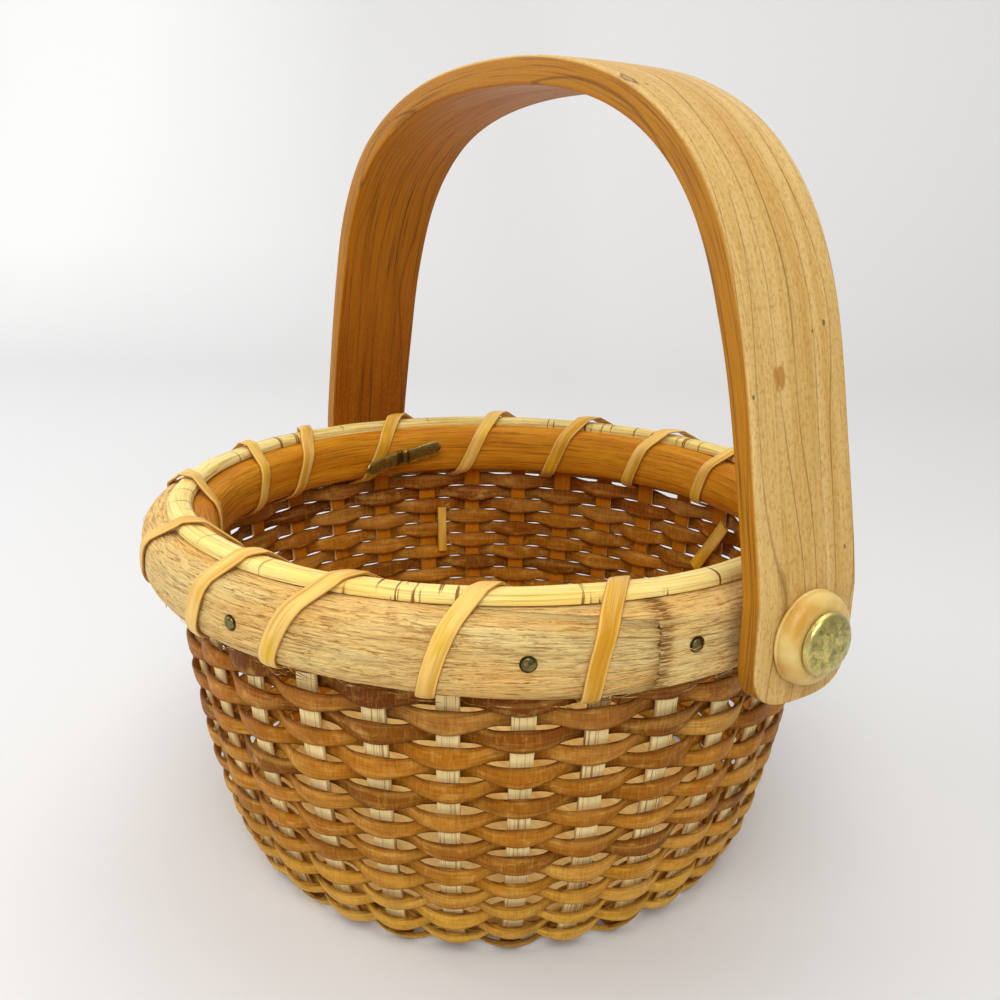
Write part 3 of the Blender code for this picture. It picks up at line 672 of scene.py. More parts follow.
def smooth_noise(length: int, spacing: float, rng: np.random.Generator) -> Array:
    """Slow random wave of about unit size: random knots joined by a cosine blend.

    Args:
        length: Number of samples.
        spacing: Samples between knots.
        rng: Seeded source.

    Returns:
        One value for each sample.
    """
    knots = rng.normal(0.0, 1.0, int(length / spacing) + 3)
    place = np.arange(length) / spacing
    low = place.astype(int)
    share = (1 - np.cos((place - low) * math.pi)) / 2
    return knots[low] * (1 - share) + knots[low + 1] * share


def random_wave(length: int, wave: Wave, rng: np.random.Generator) -> Array:
    """Slow random wave of a given size, with its knots a given number of samples apart."""
    size, spacing = wave
    return size * smooth_noise(length, spacing, rng)


@dataclass
class Surface:
    """Points on a grid, with the length and width that its pattern follows.

    Row by row the grid runs along the piece, and each row is a closed section. Where ring is set, the
    last row joins the first one and there are no end caps.
    """

    points: Array
    along: Array
    across: Array
    values: dict[str, Array] = field(default_factory=dict)
    ring: bool = False

    def faces(self) -> list[Array]:
        """Quads between neighbouring rows, and a cap at each end unless the rows make a ring.

        Returns:
            Blocks of faces, each face a row of point numbers.
        """
        rows, columns = self.points.shape[:2]
        index = np.arange(rows * columns).reshape(rows, columns)
        after = np.roll(index, -1, axis=0) if self.ring else index[1:]
        here = index if self.ring else index[:-1]
        beside = np.roll(here, -1, axis=1)
        corner = np.roll(after, -1, axis=1)
        quads = np.stack([here, beside, corner, after], axis=-1).reshape(-1, 4)
        if self.ring:
            return [quads]
        return [quads, index[:1, ::-1], index[-1:]]


def sweep(centre: Array, side: Array, out: Array, section: Array) -> Surface:
    """Carry a section along a path: point = centre + across * side + lift * out.

    Args:
        centre: Path, one point a row.
        side: Unit direction across, for each row.
        out: Unit direction out of the face, for each row.
        section: Rows of across and lift, one section or one for each row.

    Returns:
        The surface, its pattern in metres along and across.
    """
    section = np.broadcast_to(section, (len(centre), *section.shape[-2:]))
    points = centre[:, None] + section[..., :1] * side[:, None] + section[..., 1:] * out[:, None]
    along = np.repeat(path_length(centre)[:, None], section.shape[1], axis=1)
    return Surface(points, along, section[..., 0].copy())


def turned(axis_point: Sequence[float], axis: Sequence[float], profile: Array,
           segments: int) -> Surface:
    """Turn a profile of radius and lift about an axis, closed at both ends.

    Args:
        axis_point: Point on the axis where lift is 0.
        axis: Direction of the lift.
        profile: Rows of radius and lift, from one end of the axis to the other.
        segments: Steps round.

    Returns:
        The surface.
    """
    axis = unit(np.asarray(axis, dtype=float))
    helper = np.array([0.0, 0.0, 1.0]) if abs(axis[2]) < 0.9 else np.array([1.0, 0.0, 0.0])
    first = unit(np.cross(helper, axis))
    second = np.cross(axis, first)
    turn = np.arange(segments) * TAU / segments
    circle = np.cos(turn)[:, None] * first + np.sin(turn)[:, None] * second
    points = (np.asarray(axis_point) + profile[:, 1, None, None] * axis
              + profile[:, 0, None, None] * circle[None])
    along = np.cumsum(np.hypot(*np.diff(profile, axis=0, prepend=profile[:1]).T))
    return Surface(points, np.repeat(along[:, None], segments, axis=1), profile[:, :1] * turn[None])


def rolled_edge(radius: float, thick: float, last: float) -> tuple[Array, Array]:
    """Rounded edge of a disc, from its underside round to its upper side.

    Args:
        radius: Radius of the disc.
        thick: Thickness of its edge.
        last: Angle where the edge ends, in degrees. 90 is a full half round.

    Returns:
        Radius and lift of its points.
    """
    turn = np.radians(np.linspace(-90, last, 7))
    return radius - thick / 2 * (1 - np.cos(turn)), thick / 2 * (1 + np.sin(turn))


def put(name: str, data: bpy.types.ID) -> Item:
    """Make an object from its data and link it to the scene.

    Args:
        name: The object's name.
        data: Its mesh, lamp or camera.

    Returns:
        The object.
    """
    item = bpy.data.objects.new(name, data)
    bpy.context.scene.collection.objects.link(item)
    return item


def set_frame(item: Item, axes: Array, place: Sequence[float]) -> None:
    """Turn and place an object.

    Args:
        item: The object.
        axes: Its x, y and z axes as columns.
        place: Where it stands.
    """
    matrix = np.eye(4)
    matrix[:3, :3] = axes
    matrix[:3, 3] = place
    item.matrix_world = Matrix(matrix.tolist())


class Workshop:
    """Makes Blender objects from surfaces and hands them to the frame."""

    def __init__(self) -> None:
        """Start with no materials."""
        self.materials: dict[Slot, Material] = {}

    def dress(self, slot: Slot, material: Material) -> None:
        """Keep the material for a slot."""
        self.materials[slot] = material

    def piece(self, name: str, surfaces: Sequence[Surface], slot: Slot, body: Body,
              nodes: Sequence[str] = (), sharp: float = 40.0,
              cutters: Sequence[Item] = ()) -> None:
        """Make one piece from its surfaces.

        Args:
            name: The piece's name.
            surfaces: Its closed surfaces.
            slot: The finish it takes.
            body: The body it rides on.
            nodes: CAD nodes it stands for.
            sharp: Edges that turn more than this, in degrees, stay sharp.
            cutters: Solids to cut out of it.
        """
        mesh = bpy.data.meshes.new(name)
        points = np.concatenate([s.points.reshape(-1, 3) for s in surfaces])
        faces: list[list[int]] = []
        start = 0
        for surface in surfaces:
            for block in surface.faces():
                faces.extend((block + start).tolist())
            start += surface.points.shape[0] * surface.points.shape[1]
        mesh.from_pydata(points, [], faces)
        place = np.concatenate([np.stack([s.along, s.across], axis=-1).reshape(-1, 2)
                                for s in surfaces])
        corners = np.zeros(len(mesh.loops), dtype=np.int32)
        mesh.loops.foreach_get("vertex_index", corners)
        layer = mesh.uv_layers.new(name="UVMap")
        layer.data.foreach_set("uv", place[corners].astype(np.float32).ravel())
        for key in surfaces[0].values:
            values = np.concatenate([np.broadcast_to(s.values[key], s.along.shape).ravel()
                                     for s in surfaces])
            attribute = mesh.attributes.new(key, "FLOAT", "POINT")
            attribute.data.foreach_set("value", values.astype(np.float32))
        mesh.shade_smooth()
        mesh.set_sharp_from_angle(angle=math.radians(sharp))
        mesh.materials.append(self.materials[slot])
        item = put(name, mesh)
        self.face_out(item)
        for cutter in cutters:
            self.cut(item, cutter)
        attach(item, body.value)
        if nodes:
            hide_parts(*nodes)
        LOG.info("%s: %d points, stands for %d nodes", name, len(item.data.vertices), len(nodes))

    @staticmethod
    def face_out(item: Item) -> None:
        """Turn the faces outwards where the volume, the sum of a . (b x c), is negative.

        Args:
            item: The object, a closed solid.
        """
        mesh = item.data
        mesh.calc_loop_triangles()
        points = np.zeros(len(mesh.vertices) * 3)
        mesh.vertices.foreach_get("co", points)
        triangles = np.zeros(len(mesh.loop_triangles) * 3, dtype=np.int32)
        mesh.loop_triangles.foreach_get("vertices", triangles)
        a, b, c = points.reshape(-1, 3)[triangles.reshape(-1, 3)].transpose(1, 0, 2)
        if float(np.einsum("ij,ij->i", a, np.cross(b, c)).sum()) < 0:
            mesh.flip_normals()

    @staticmethod
    def cut(item: Item, cutter: Item) -> None:
        """Cut a solid out of a piece and keep the result as its mesh.

        Args:
            item: The piece.
            cutter: The solid, which is removed afterwards.
        """
        modifier = item.modifiers.new("cut", "BOOLEAN")
        modifier.operation = "DIFFERENCE"
        modifier.solver = "EXACT"
        modifier.object = cutter
        graph = bpy.context.evaluated_depsgraph_get()
        result = bpy.data.meshes.new_from_object(item.evaluated_get(graph))
        item.modifiers.clear()
        item.data = result
        bpy.data.objects.remove(cutter, do_unlink=True)

    @staticmethod
    def cutter(surface: Surface) -> Item:
        """Make a bare solid for cutting.

        Args:
            surface: Its closed surface.

        Returns:
            The solid, linked to the scene.
        """
        mesh = bpy.data.meshes.new("cutter")
        faces = [face for block in surface.faces() for face in block.tolist()]
        mesh.from_pydata(surface.points.reshape(-1, 3), [], faces)
        item = put("cutter", mesh)
        Workshop.face_out(item)
        return item


@dataclass(frozen=True)
class Spacing:
    """Where the stakes stand round the basket: even spacing with a slow drift."""

    count: int = 31
    first: float = math.radians(-30.3)
    waves: tuple[tuple[int, float, float], ...] = ((1, 2.1, 27.0), (2, 1.4, -176.0), (3, 0.4, -163.0))

    def angle(self, number: Array) -> Array:
        """Angle of a stake, or of a place between two.

        Args:
            number: Stakes counted from the first one.

        Returns:
            The even angle e = first + number * turn / count, plus the sum of size * cos(k e + phase).
        """
        even = self.first + number * TAU / self.count
        return even + sum(math.radians(size) * np.cos(k * even + math.radians(phase))
                          for k, size, phase in self.waves)


@dataclass
class Wall:
    """Middle line of the woven wall, from the base's groove to the rim."""

    bottom: float = 0.0025
    top: float = 0.0708
    upright: float = 0.0060
    foot_radius: float = 0.0611
    inward: float = 0.0024
    top_radius: float = 0.07555
    bend: float = 1.5
    samples: int = 600

    def __post_init__(self) -> None:
        """Tabulate arc length, radius, height and direction.

        The radius is foot + (top - foot) * (1 - (1 - s) ** bend) ** (1 / bend), with s from 0 to 1.
        Above the rim's foot the line runs straight up, and at the base it runs level inwards.
        """
        share = 1 - np.cos(np.linspace(0, math.pi / 2, self.samples))
        height = self.bottom + share * (self.top - self.bottom)
        swell = (1 - (1 - share) ** self.bend) ** (1 / self.bend)
        radius = self.foot_radius + (self.top_radius - self.foot_radius) * swell
        arc = run_length(radius, height)
        slope = np.stack([np.gradient(radius, arc), np.gradient(height, arc)])
        slope /= np.hypot(*slope)
        self.length = float(arc[-1])
        columns = (arc, radius, height, slope[0], slope[1])
        above = (self.length + self.upright, self.top_radius, self.top + self.upright, 0.0, 1.0)
        below = (-self.inward, self.foot_radius - self.inward, self.bottom, 1.0, 0.0)
        self.table = with_ends(below, columns, above)

    def at(self, arc: Array) -> tuple[Array, ...]:
        """Radius, height and the two parts of the direction along the wall, at arc lengths."""
        return tuple(np.interp(arc, self.table[0], column) for column in self.table[1:])

    def arc_at(self, height: float) -> float:
        """Arc length at a height."""
        return float(np.interp(height, self.table[2], self.table[0]))


@dataclass
class Weave:
    """Stakes and the reed that climbs between them.

    On the reed, a wave's knots are spaced in steps, one step from stake to stake.
    """

    wall: Wall
    spacing: Spacing
    stake_thickness: float = 0.0015
    stake_width_top: float = 0.0050
    stake_width_foot: float = 0.0043
    stake_foot_radius: float = 0.0505
    stake_top: float = 0.0866
    stake_rows: int = 48
    stake_lowest: float = 0.012
    stake_spread: float = 1.4
    stake_seed: int = 100
    stake_wander: Wave = (0.00012, 9)
    stake_uneven: Wave = (0.03, 12)
    stake_widths: tuple[float, float] = (0.94, 1.03)
    stake_section: Section = (14, 5.0, 0.12)
    stake_pattern: tuple[float, float] = (0.37, 0.013)
    # Painted shade at the stakes' foot: where it ends, how fast it fades and its share of honey.
    foot_shade_top: float = 0.0062
    foot_shade_fade: float = 0.002
    foot_shade_honey: float = 0.9
    pivot_offset: float = 0.0080
    pivot_reach: float = 0.0054
    short_top: float = 0.0771
    steps: int = 521
    run_in: int = 61
    run_out: int = 21
    first_stake: int = 17
    splices: tuple[int, ...] = (212, 370)
    splice_gap: float = 0.0008
    swing: float = 0.00190
    reed_thickness: float = 0.0011
    narrow: float = 0.97
    swell: float = 0.36
    growth: float = 1.2
    start_height: float = 0.0078
    end_height: float = 0.07045
    crest: float = 0.8
    hug: Wave = (0.05, 1.0)
    hug_most: float = 1.04
    tuck_top: float = 0.16
    tuck_before: int = 8
    tuck_over: int = 16
    tuck_foot: float = 0.38
    uneven: Wave = (0.035, 2.3)
    drift: Wave = (0.00014, 1.7)
    tilt: Wave = (0.09, 1.1)
    reed_section: Section = (16, 3.4, 0.22)
    reed_pattern: float = 1.3
    tone_short: Wave = (0.25, 1.6)
    tone_long: Wave = (0.22, 9.0)
    short_share: float = 0.45
    long_share: float = 0.55
    dark_runs: tuple[tuple[int, int], ...] = ((314, 13), (503, 12), (452, 7), (395, 6), (205, 5))
    dark_reach: float = 1.4
    dark_share: float = 0.5
    reed_seed: int = 11
    samples_per_step: int = 10

    def row_arc(self, turn: Array) -> Array:
        """Arc length of the reed's middle after a number of turns.

        The rows widen as they rise: s0 + p0 n + (p1 - p0) N (x^3 - x^4 / 2), with x = n / N and
        p1 / p0 the growth.

        Args:
            turn: Turns n since the first row's start.

        Returns:
            The arc length along the wall.
        """
        turns = self.steps / self.spacing.count
        low = self.wall.arc_at(self.start_height)
        share = 2 * self.growth / (1 + self.growth) / turns
        span = (self.wall.arc_at(self.end_height) - low) / (1 + share / 2)
        pitch = 2 * span / (turns * (1 + self.growth))
        x = np.clip(turn / turns, 0, None)
        return low + pitch * turn + pitch * (self.growth - 1) * turns * (x ** 3 - x ** 4 / 2)

    def stake(self, index: int) -> Surface:
        """One stake: a flat crowned section up the wall, its foot level in the base's groove.

        Args:
            index: Stakes counted from the first one.

        Returns:
            The surface, with the attributes inner, 1 on the inside, partly painted shade inside the
            basket, and foot, 1 near the base, painted shade that also raises inner there.
        """
        angle = float(self.spacing.angle(np.float64(index)))
        top = self.stake_top
        if abs(self.wall.top_radius * math.sin(angle) - self.pivot_offset) < self.pivot_reach:
            top = self.short_top
        rows = np.linspace(self.stake_lowest, 1, self.stake_rows)
        arc = self.wall.length * rows ** self.stake_spread
        radius, height, along_r, along_z = with_ends(
            (self.stake_foot_radius, self.wall.bottom, 1.0, 0.0), self.wall.at(arc),
            (self.wall.top_radius, top, 0.0, 1.0))
        rng = np.random.default_rng(self.stake_seed + index)
        wander = random_wave(len(radius), self.stake_wander, rng)
        share = np.clip(height / self.wall.top, 0, 1)
        width = self.stake_width_foot + (self.stake_width_top - self.stake_width_foot) * share
        width = width * (1 + random_wave(len(radius), self.stake_uneven, rng))
        width = width * rng.uniform(*self.stake_widths)
        section = rounded_section(1.0, self.stake_thickness, *self.stake_section)
        side = np.array([-math.sin(angle), math.cos(angle), 0.0])
        centre = around(angle, radius, height) + wander[:, None] * side
        out = around(angle, along_z, -along_r)
        surface = sweep(centre, np.broadcast_to(side, centre.shape), out, widened(section, width))
        surface.along += index * self.stake_pattern[0]
        surface.across += index * self.stake_pattern[1]
        # Painted shade: 1 near the base, fading above; it also raises the honey of the inner faces
        # there.
        foot = np.clip((self.foot_shade_top - height) / self.foot_shade_fade, 0, 1)[:, None]
        inner = (section[:, 1] < 0).astype(float)[None]
        surface.values = {"inner": np.maximum(inner, foot * self.foot_shade_honey), "foot": foot}
        return surface

    def reed(self, first: int, last: int, seed: int) -> Surface:
        """A length of reed: out over one stake and in behind the next, a soft wave along the wall.

        The wave is swing * sign(c) * abs(c) ** crest with c = cos(pi * step), plus small tilts and
        wanders. The reed widens where it lies over a stake.

        Args:
            first: Step where it starts.
            last: Step where it ends.
            seed: Seed of its unevenness.

        Returns:
            The surface, with the attributes rise, tone and edge.
        """
        rng = np.random.default_rng(seed)
        step = np.linspace(first, last, (last - first) * self.samples_per_step + 1)

        def wander(knots: Wave) -> Array:
            """Random wave along this length, its knots spaced in steps."""
            return random_wave(len(step), (knots[0], knots[1] * self.samples_per_step), rng)

        turn = step / self.spacing.count
        angle = self.spacing.angle(self.first_stake + step)
        wave = np.cos(math.pi * step)
        hug = np.minimum(1 + wander(self.hug), self.hug_most)
        tuck = self.tuck_top * np.clip((step - self.steps + self.tuck_before) / self.tuck_over, 0, 1)
        tuck = 1 - tuck - self.tuck_foot * np.clip(-step / self.run_in, 0, 1)
        lift = self.swing * np.sign(wave) * np.abs(wave) ** self.crest * hug * tuck
        row = self.row_arc(turn + 0.5) - self.row_arc(turn - 0.5)
        width = row * (self.narrow + self.swell * wave ** 2 * (1 + wander(self.uneven)))
        drift = wander(self.drift) * wave ** 2
        tilt = wander(self.tilt)
        radius, height, along_r, along_z = self.wall.at(self.row_arc(turn) + drift)
        shift = self.splice_gap / 2 / radius[[0, -1]]
        angle[0] += shift[0]
        angle[-1] -= shift[1]
        centre = around(angle, radius + along_z * lift, height - along_r * lift)
        up = around(angle, along_r, along_z)
        out = around(angle, along_z, -along_r)
        ahead = unit(np.gradient(centre, axis=0))
        face = unit(out - ahead * (out * ahead).sum(axis=1, keepdims=True))
        across = np.cross(face, ahead)
        up = unit(across) * np.sign((across * up).sum(axis=1, keepdims=True))
        side = unit(up * np.cos(tilt)[:, None] + face * np.sin(tilt)[:, None])
        face = unit(face * np.cos(tilt)[:, None] - up * np.sin(tilt)[:, None])
        section = rounded_section(1.0, self.reed_thickness, *self.reed_section)
        surface = sweep(centre, side, face, widened(section, width))
        surface.along += seed * self.reed_pattern
        rise = np.clip(height / self.wall.top, 0, 1)
        short = 0.5 + wander(self.tone_short)
        slow = 0.5 + wander(self.tone_long)
        darker = sum(np.clip(self.dark_reach - np.abs(step - middle) / half, 0, 1)
                     for middle, half in self.dark_runs)
        tone = self.short_share * short + self.long_share * slow - self.dark_share * darker
        surface.values = {"rise": rise[:, None], "tone": np.clip(tone, 0, 1)[:, None],
                          "edge": np.abs(section[:, 0])[None] * 2}
        return surface

    def build(self, shop: Workshop) -> None:
        """Make every stake and the three lengths of reed.

        Args:
            shop: Makes the pieces.
        """
        for index in range(self.spacing.count):
            node = "stake_%02d" % (index + 1)
            shop.piece("dressed_" + node, [self.stake(index)], Slot.STAKE, Body.BASKET, [node])
        ends = (-self.run_in, *self.splices, self.steps + self.run_out)
        lengths = zip(("lower", "middle", "upper"), ends, ends[1:])
        for seed, (label, first, last) in enumerate(lengths, self.reed_seed):
            shop.piece("reed_" + label, [self.reed(first, last, seed)], Slot.WEAVER, Body.BASKET,
                       ["weaver_" + label])


@dataclass(frozen=True)
class Fibre:
    """One kind of loose fibre: how many, and the ranges of its start, its length and its radius.

    The start is in degrees round the basket, the length and the radius in metres.
    """

    count: int
    start: tuple[float, float]
    length: tuple[float, float]
    thick: tuple[float, float]


@dataclass
class Rims:
    """The two half-round hoops, the filler over the stake ends and the lashing round all three."""

    wall: Wall
    spacing: Spacing
    rim_radius: float = 0.0850
    rim_bottom: float = 0.0708
    outer_height: float = 0.0161
    inner_height: float = 0.0135
    inner_raise: float = 0.0020
    sag: float = 0.0016
    sag_rise: float = 0.0003
    sag_angle: float = math.radians(-18.0)
    sag_reach: float = math.radians(18.0)
    far_rise: float = 0.0013
    far_angle: float = math.radians(150.0)
    far_reach: float = math.radians(52.0)
    inner_thickness: float = 0.0065
    roundness: float = 3.2
    stake_thickness: float = 0.0015
    seat: float = 0.0003
    lap_angle: float = math.radians(-13.0)
    inner_lap_angle: float = math.radians(-23.0)
    lap_length: float = math.radians(30.0)
    lap_tip: float = 0.0011
    outer_seed: int = 21
    inner_seed: int = 22
    hoop_swells: tuple[Wave, ...] = ((0.00012, 14), (0.00006, 5))
    hoop_ridge: float = 0.00005
    face_from: float = 0.3
    nail_flat: float = math.radians(2.2)
    tear: float = math.radians(0.16)
    tear_reach: float = math.radians(3)
    rough_reach: float = math.radians(2.2)
    torn_angle: float = math.radians(0.6)
    torn_reach: float = math.radians(1.3)
    torn_share: float = 1.5
    inner_foot_rise: float = 0.4
    filler_width: float = 0.0056
    filler_height: float = 0.0022
    filler_shift: float = 0.0006
    filler_joint: float = math.radians(14.0)
    filler_gap: float = 0.0005
    filler_steps: int = 20
    filler_power: float = 2.8
    filler_seed: int = 23
    filler_swell: Wave = (0.00010, 11)
    filler_sway: Wave = (0.00015, 30)
    filler_raise: float = 0.25
    filler_far_dark: float = 0.42
    passes: tuple[float, ...] = (3.5, 5.35, 6.66, 8.6, 10.36, 12.36, 14.4, 16.42, 18.66, 20.54,
                                 21.61, 24.5, 26.47, 27.80, 29.83, 31.68, 33.5)
    lashing_width: float = 0.0040
    lashing_thickness: float = 0.0008
    lashing_clearance: float = 0.00018
    lashing_steps: int = 48
    lashing_section: Section = (14, 3.2, 0.25)
    lashing_seed: int = 24
    lashing_pause: float = 0.05
    lashing_ease: float = 0.25
    lashing_wander: float = math.radians(0.25)
    lashing_uneven: float = 0.05
    steep_from: int = 13
    steep: tuple[float, ...] = (1.3, 1.75, 2.0)
    under_fibre: Fibre = Fibre(64, (-125, 60), (0.006, 0.019), (0.00007, 0.00013))
    face_fibre: Fibre = Fibre(86, (-120, 60), (0.003, 0.011), (0.00005, 0.00008))
    fibre_seed: int = 25
    fibre_steps: int = 20
    outline_steps: int = 720
    circle_steps: int = 32
    around_steps: int = 540
    section_steps: int = 30

    @property
    def outer_back(self) -> float:
        """Radius of the outer hoop's flat back."""
        return self.wall.top_radius + self.stake_thickness / 2 + self.seat

    @property
    def inner_back(self) -> float:
        """Radius of the inner hoop's flat back."""
        return self.wall.top_radius - self.stake_thickness / 2 - self.seat

    @property
    def outer_thickness(self) -> float:
        """Thickness of the outer hoop from its back to its face."""
        return self.rim_radius - self.outer_back

    def droop(self, angle: Array) -> Array:
        """How far the outer hoop's lower edge stands off its plain height, with a bell of sag."""
        return self.sag_rise - self.sag * bell(angle, self.sag_angle, self.sag_reach)

    def lifted(self, angle: Array) -> Array:
        """How far the inner hoop stands higher round the far side: a bell of far_rise."""
        return self.far_rise * bell(angle, self.far_angle, self.far_reach)

    @property
    def filler_bottom(self) -> float:
        """Height of the filler's underside."""
        return self.rim_bottom + self.outer_height + self.seat

    def half_round(self, thickness: float, height: float, floor: Array,
                   cap: Array) -> tuple[Array, Array]:
        """Half-round section for each row: out from the back and height above its foot.

        Out is thickness * cos(t) ** (2 / n) and level is height / 2 * (1 + sin(t) ** (2 / n)), with n
        the roundness, cut by floor and cap.

        Args:
            thickness: Thickness where it is whole.
            height: Height where it is whole.
            floor: Share cut away at the back, for each row.
            cap: Share left at the front, for each row.

        Returns:
            Out and level, rows by section points.
        """
        power = 2 / self.roundness
        reach = np.arccos(np.clip(floor, 0, 1) ** (self.roundness / 2))
        turn = reach[:, None] * np.linspace(-1, 1, self.section_steps + 1)[None]
        out = np.maximum(np.cos(turn), 0) ** power
        out[:, [0, -1]] = floor[:, None]
        level = np.sign(turn) * np.abs(np.sin(turn)) ** power
        return thickness * np.minimum(out, cap[:, None]), height / 2 * (1 + level)

    def hoop(self, lap_angle: float, thickness: float, height: float, seed: int,
             place: Callable[[Array, Array, Array], Array]) -> Surface:
        """Hoop whose ends lap in a scarf, with a frayed step at its tip.

        Args:
            lap_angle: Where the outer tip ends.
            thickness: Thickness of the section.
            height: Height of the section.
            seed: Seed of its unevenness.
            place: Puts angle, out and level round the axis.

        Returns:
            The surface, with the attribute of wear and shade, 1 at its frayed tip and just beyond it.
        """
        rng = np.random.default_rng(seed)
        span = TAU + self.lap_length
        from_start = np.linspace(0, span, self.around_steps + 1)
        past = from_start / self.lap_length
        tip = self.lap_tip / thickness
        gap = self.seat / thickness
        under = 1 - tip - gap
        scarf = np.where(past <= 1, tip + (under - tip) * past, under + (1 - under) * (past - 1))
        lapped = past - TAU / self.lap_length
        floor = np.where(lapped >= 0, tip + (under - tip) * lapped + gap, 0.0)
        out, level = self.half_round(thickness, height, floor, np.minimum(1.0, scarf))
        swell = sum(random_wave(len(past), wave, rng) for wave in self.hoop_swells)
        ridge = self.hoop_ridge * rng.normal(0, 1, self.section_steps + 1)
        start = lap_angle - self.lap_length
        from_nails = apart(start + from_start[:, None], np.radians(NAIL_DEGREES))
        swell = swell * (1 - np.exp(-(from_nails / self.nail_flat) ** 2).max(axis=1))
        uneven = (swell[:, None] + ridge) * (out / thickness) ** 2
        out = out + np.where(out > self.face_from * thickness, uneven, 0)
        tear = rng.normal(0, 1, self.section_steps + 1) * self.tear
        ease = np.clip((from_start - span + self.tear_reach) / self.tear_reach, 0, 1)
        angle = (start + from_start)[:, None] + ease[:, None] * tear
        points = place(angle, out, level)
        arc = path_length(points[len(past) // 2])
        surface = Surface(points, angle * self.rim_radius, np.repeat(arc[None], len(past), axis=0))
        rough_end = np.clip((from_start - span + self.rough_reach) / self.rough_reach, 0, 1)
        from_tip = np.abs(from_start - self.lap_length - self.torn_angle)
        beyond = np.clip(self.torn_share - from_tip / self.torn_reach, 0, 1)
        surface.values = {"wear_and_shade": np.maximum(rough_end ** 2, np.sqrt(beyond))[:, None]}
        return surface

    def outer_hoop(self) -> Surface:
        """The outer hoop, its flat back towards the stakes.

        Returns:
            The surface.
        """
        def place(angle: Array, out: Array, level: Array) -> Array:
            """Out from the back, and hanging by the droop at the lower edge."""
            droop = self.droop(angle) * (1 - level / self.outer_height)
            return around(angle, self.outer_back + out, self.rim_bottom + level + droop)

        return self.hoop(self.lap_angle, self.outer_thickness, self.outer_height, self.outer_seed,
                         place)

    def inner_hoop(self) -> Surface:
        """The inner hoop, the same section turned inwards.

        Returns:
            The surface.
        """
        bottom = self.rim_bottom + self.inner_raise

        def place(angle: Array, out: Array, level: Array) -> Array:
            """In from the back, and lifted more at the top than at the foot."""
            share = self.inner_foot_rise + (1 - self.inner_foot_rise) * level / self.inner_height
            return around(angle, self.inner_back - out, bottom + level + self.lifted(angle) * share)

        return self.hoop(self.inner_lap_angle, self.inner_thickness, self.inner_height,
                         self.inner_seed, place)

    def filler_section(self) -> Array:
        """Section of the filler: flat below and rounded above.

        Returns:
            Rows of radius and height.
        """
        whole = rounded_section(self.filler_width, 2 * self.filler_height, self.filler_steps * 2,
                                self.filler_power)
        top = whole[:self.filler_steps + 1]
        return np.stack([self.wall.top_radius + self.filler_shift + top[:, 0],
                         self.filler_bottom + top[:, 1]], axis=1)

    def filler(self) -> Surface:
        """The filler: its section carried round, open by a small gap at its joint.

        Returns:
            The surface, with a darkening in the attribute of wear and shade, largest round the far side
            where the inner hoop stands higher.
        """
        rng = np.random.default_rng(self.filler_seed)
        shift = self.filler_gap / 2 / self.wall.top_radius
        angle = np.linspace(self.filler_joint + shift, self.filler_joint + TAU - shift,
                            self.around_steps)
        section = self.filler_section()
        swell = random_wave(len(angle), self.filler_swell, rng)
        sway = random_wave(len(angle), self.filler_sway, rng)
        rise = (section[:, 1] - self.filler_bottom) / self.filler_height
        lifted = self.lifted(angle)[:, None]
        radius = section[None, :, 0] + sway[:, None]
        height = section[None, :, 1] + swell[:, None] * rise[None]
        points = around(angle[:, None], radius, height + lifted * self.filler_raise * rise[None])
        arc = run_length(*section.T)
        along = np.repeat((angle * self.wall.top_radius)[:, None], len(section), axis=1)
        surface = Surface(points, along, np.repeat(arc[None], len(angle), axis=0))
        # Darker round the far side, where the inner hoop stands higher.
        surface.values = {"wear_and_shade": lifted / self.far_rise * self.filler_far_dark}
        return surface

    def face_reach(self, level: Array) -> Array:
        """How far the outer hoop's face is off its back: t * (1 - |2 level - 1| ** n) ** (1 / n)."""
        power = self.roundness
        return self.outer_thickness * (1 - np.abs(2 * level - 1) ** power) ** (1 / power)

    def fibres(self) -> list[Surface]:
        """Loose fibres: fine strands under the outer hoop's edge and short ones raised from its face.

        Each is a round strand along a slow random wave round the hoop, thinner at its ends.

        Returns:
            One surface for each strand, with the attribute of wear and shade: strong on the strands
            below the edge, partly their own brown and partly painted shade under the hoop.
        """
        rng = np.random.default_rng(self.fibre_seed)
        strands = []
        share = np.linspace(0, 1, self.fibre_steps)
        section = rounded_section(2.0, 2.0, 5, 2.0)
        taper = np.sqrt(np.clip(np.sin(math.pi * np.clip(share, 0.02, 0.98)), 0.05, 1))
        kinds = [kind for kind in (self.under_fibre, self.face_fibre) for _ in range(kind.count)]
        for number, kind in enumerate(kinds):
            start = math.radians(rng.uniform(*kind.start))
            length = rng.uniform(*kind.length)
            thick = rng.uniform(*kind.thick)
            angle = start + share * length / self.rim_radius
            wave = smooth_noise(len(share), 6, rng)
            if kind is self.under_fibre:
                hang = rng.uniform(-0.0009, 0.0002)
                height = self.rim_bottom + self.droop(angle) + hang + 0.0006 * wave
                radius = self.outer_back + rng.uniform(0.0025, 0.0062)
                radius = radius + random_wave(len(share), (0.0004, 7), rng)
            else:
                level = rng.uniform(0.06, 0.88) + share * rng.normal(0, 0.03) + 0.016 * wave
                level = np.clip(level, 0.03, 0.93)
                lift = 0.00012 + 0.0004 * np.sin(math.pi * share) ** 2 * rng.uniform(0, 1) ** 2
                height = self.rim_bottom + self.outer_height * level + self.droop(angle) * (1 - level)
                radius = self.outer_back + self.face_reach(level) + lift
            centre = around(angle, radius, height)
            ahead = unit(np.gradient(centre, axis=0))
            side = unit(np.cross(ahead, np.array([0.0, 0.0, 1.0])))
            sections = section[None] * (taper * thick)[:, None, None]
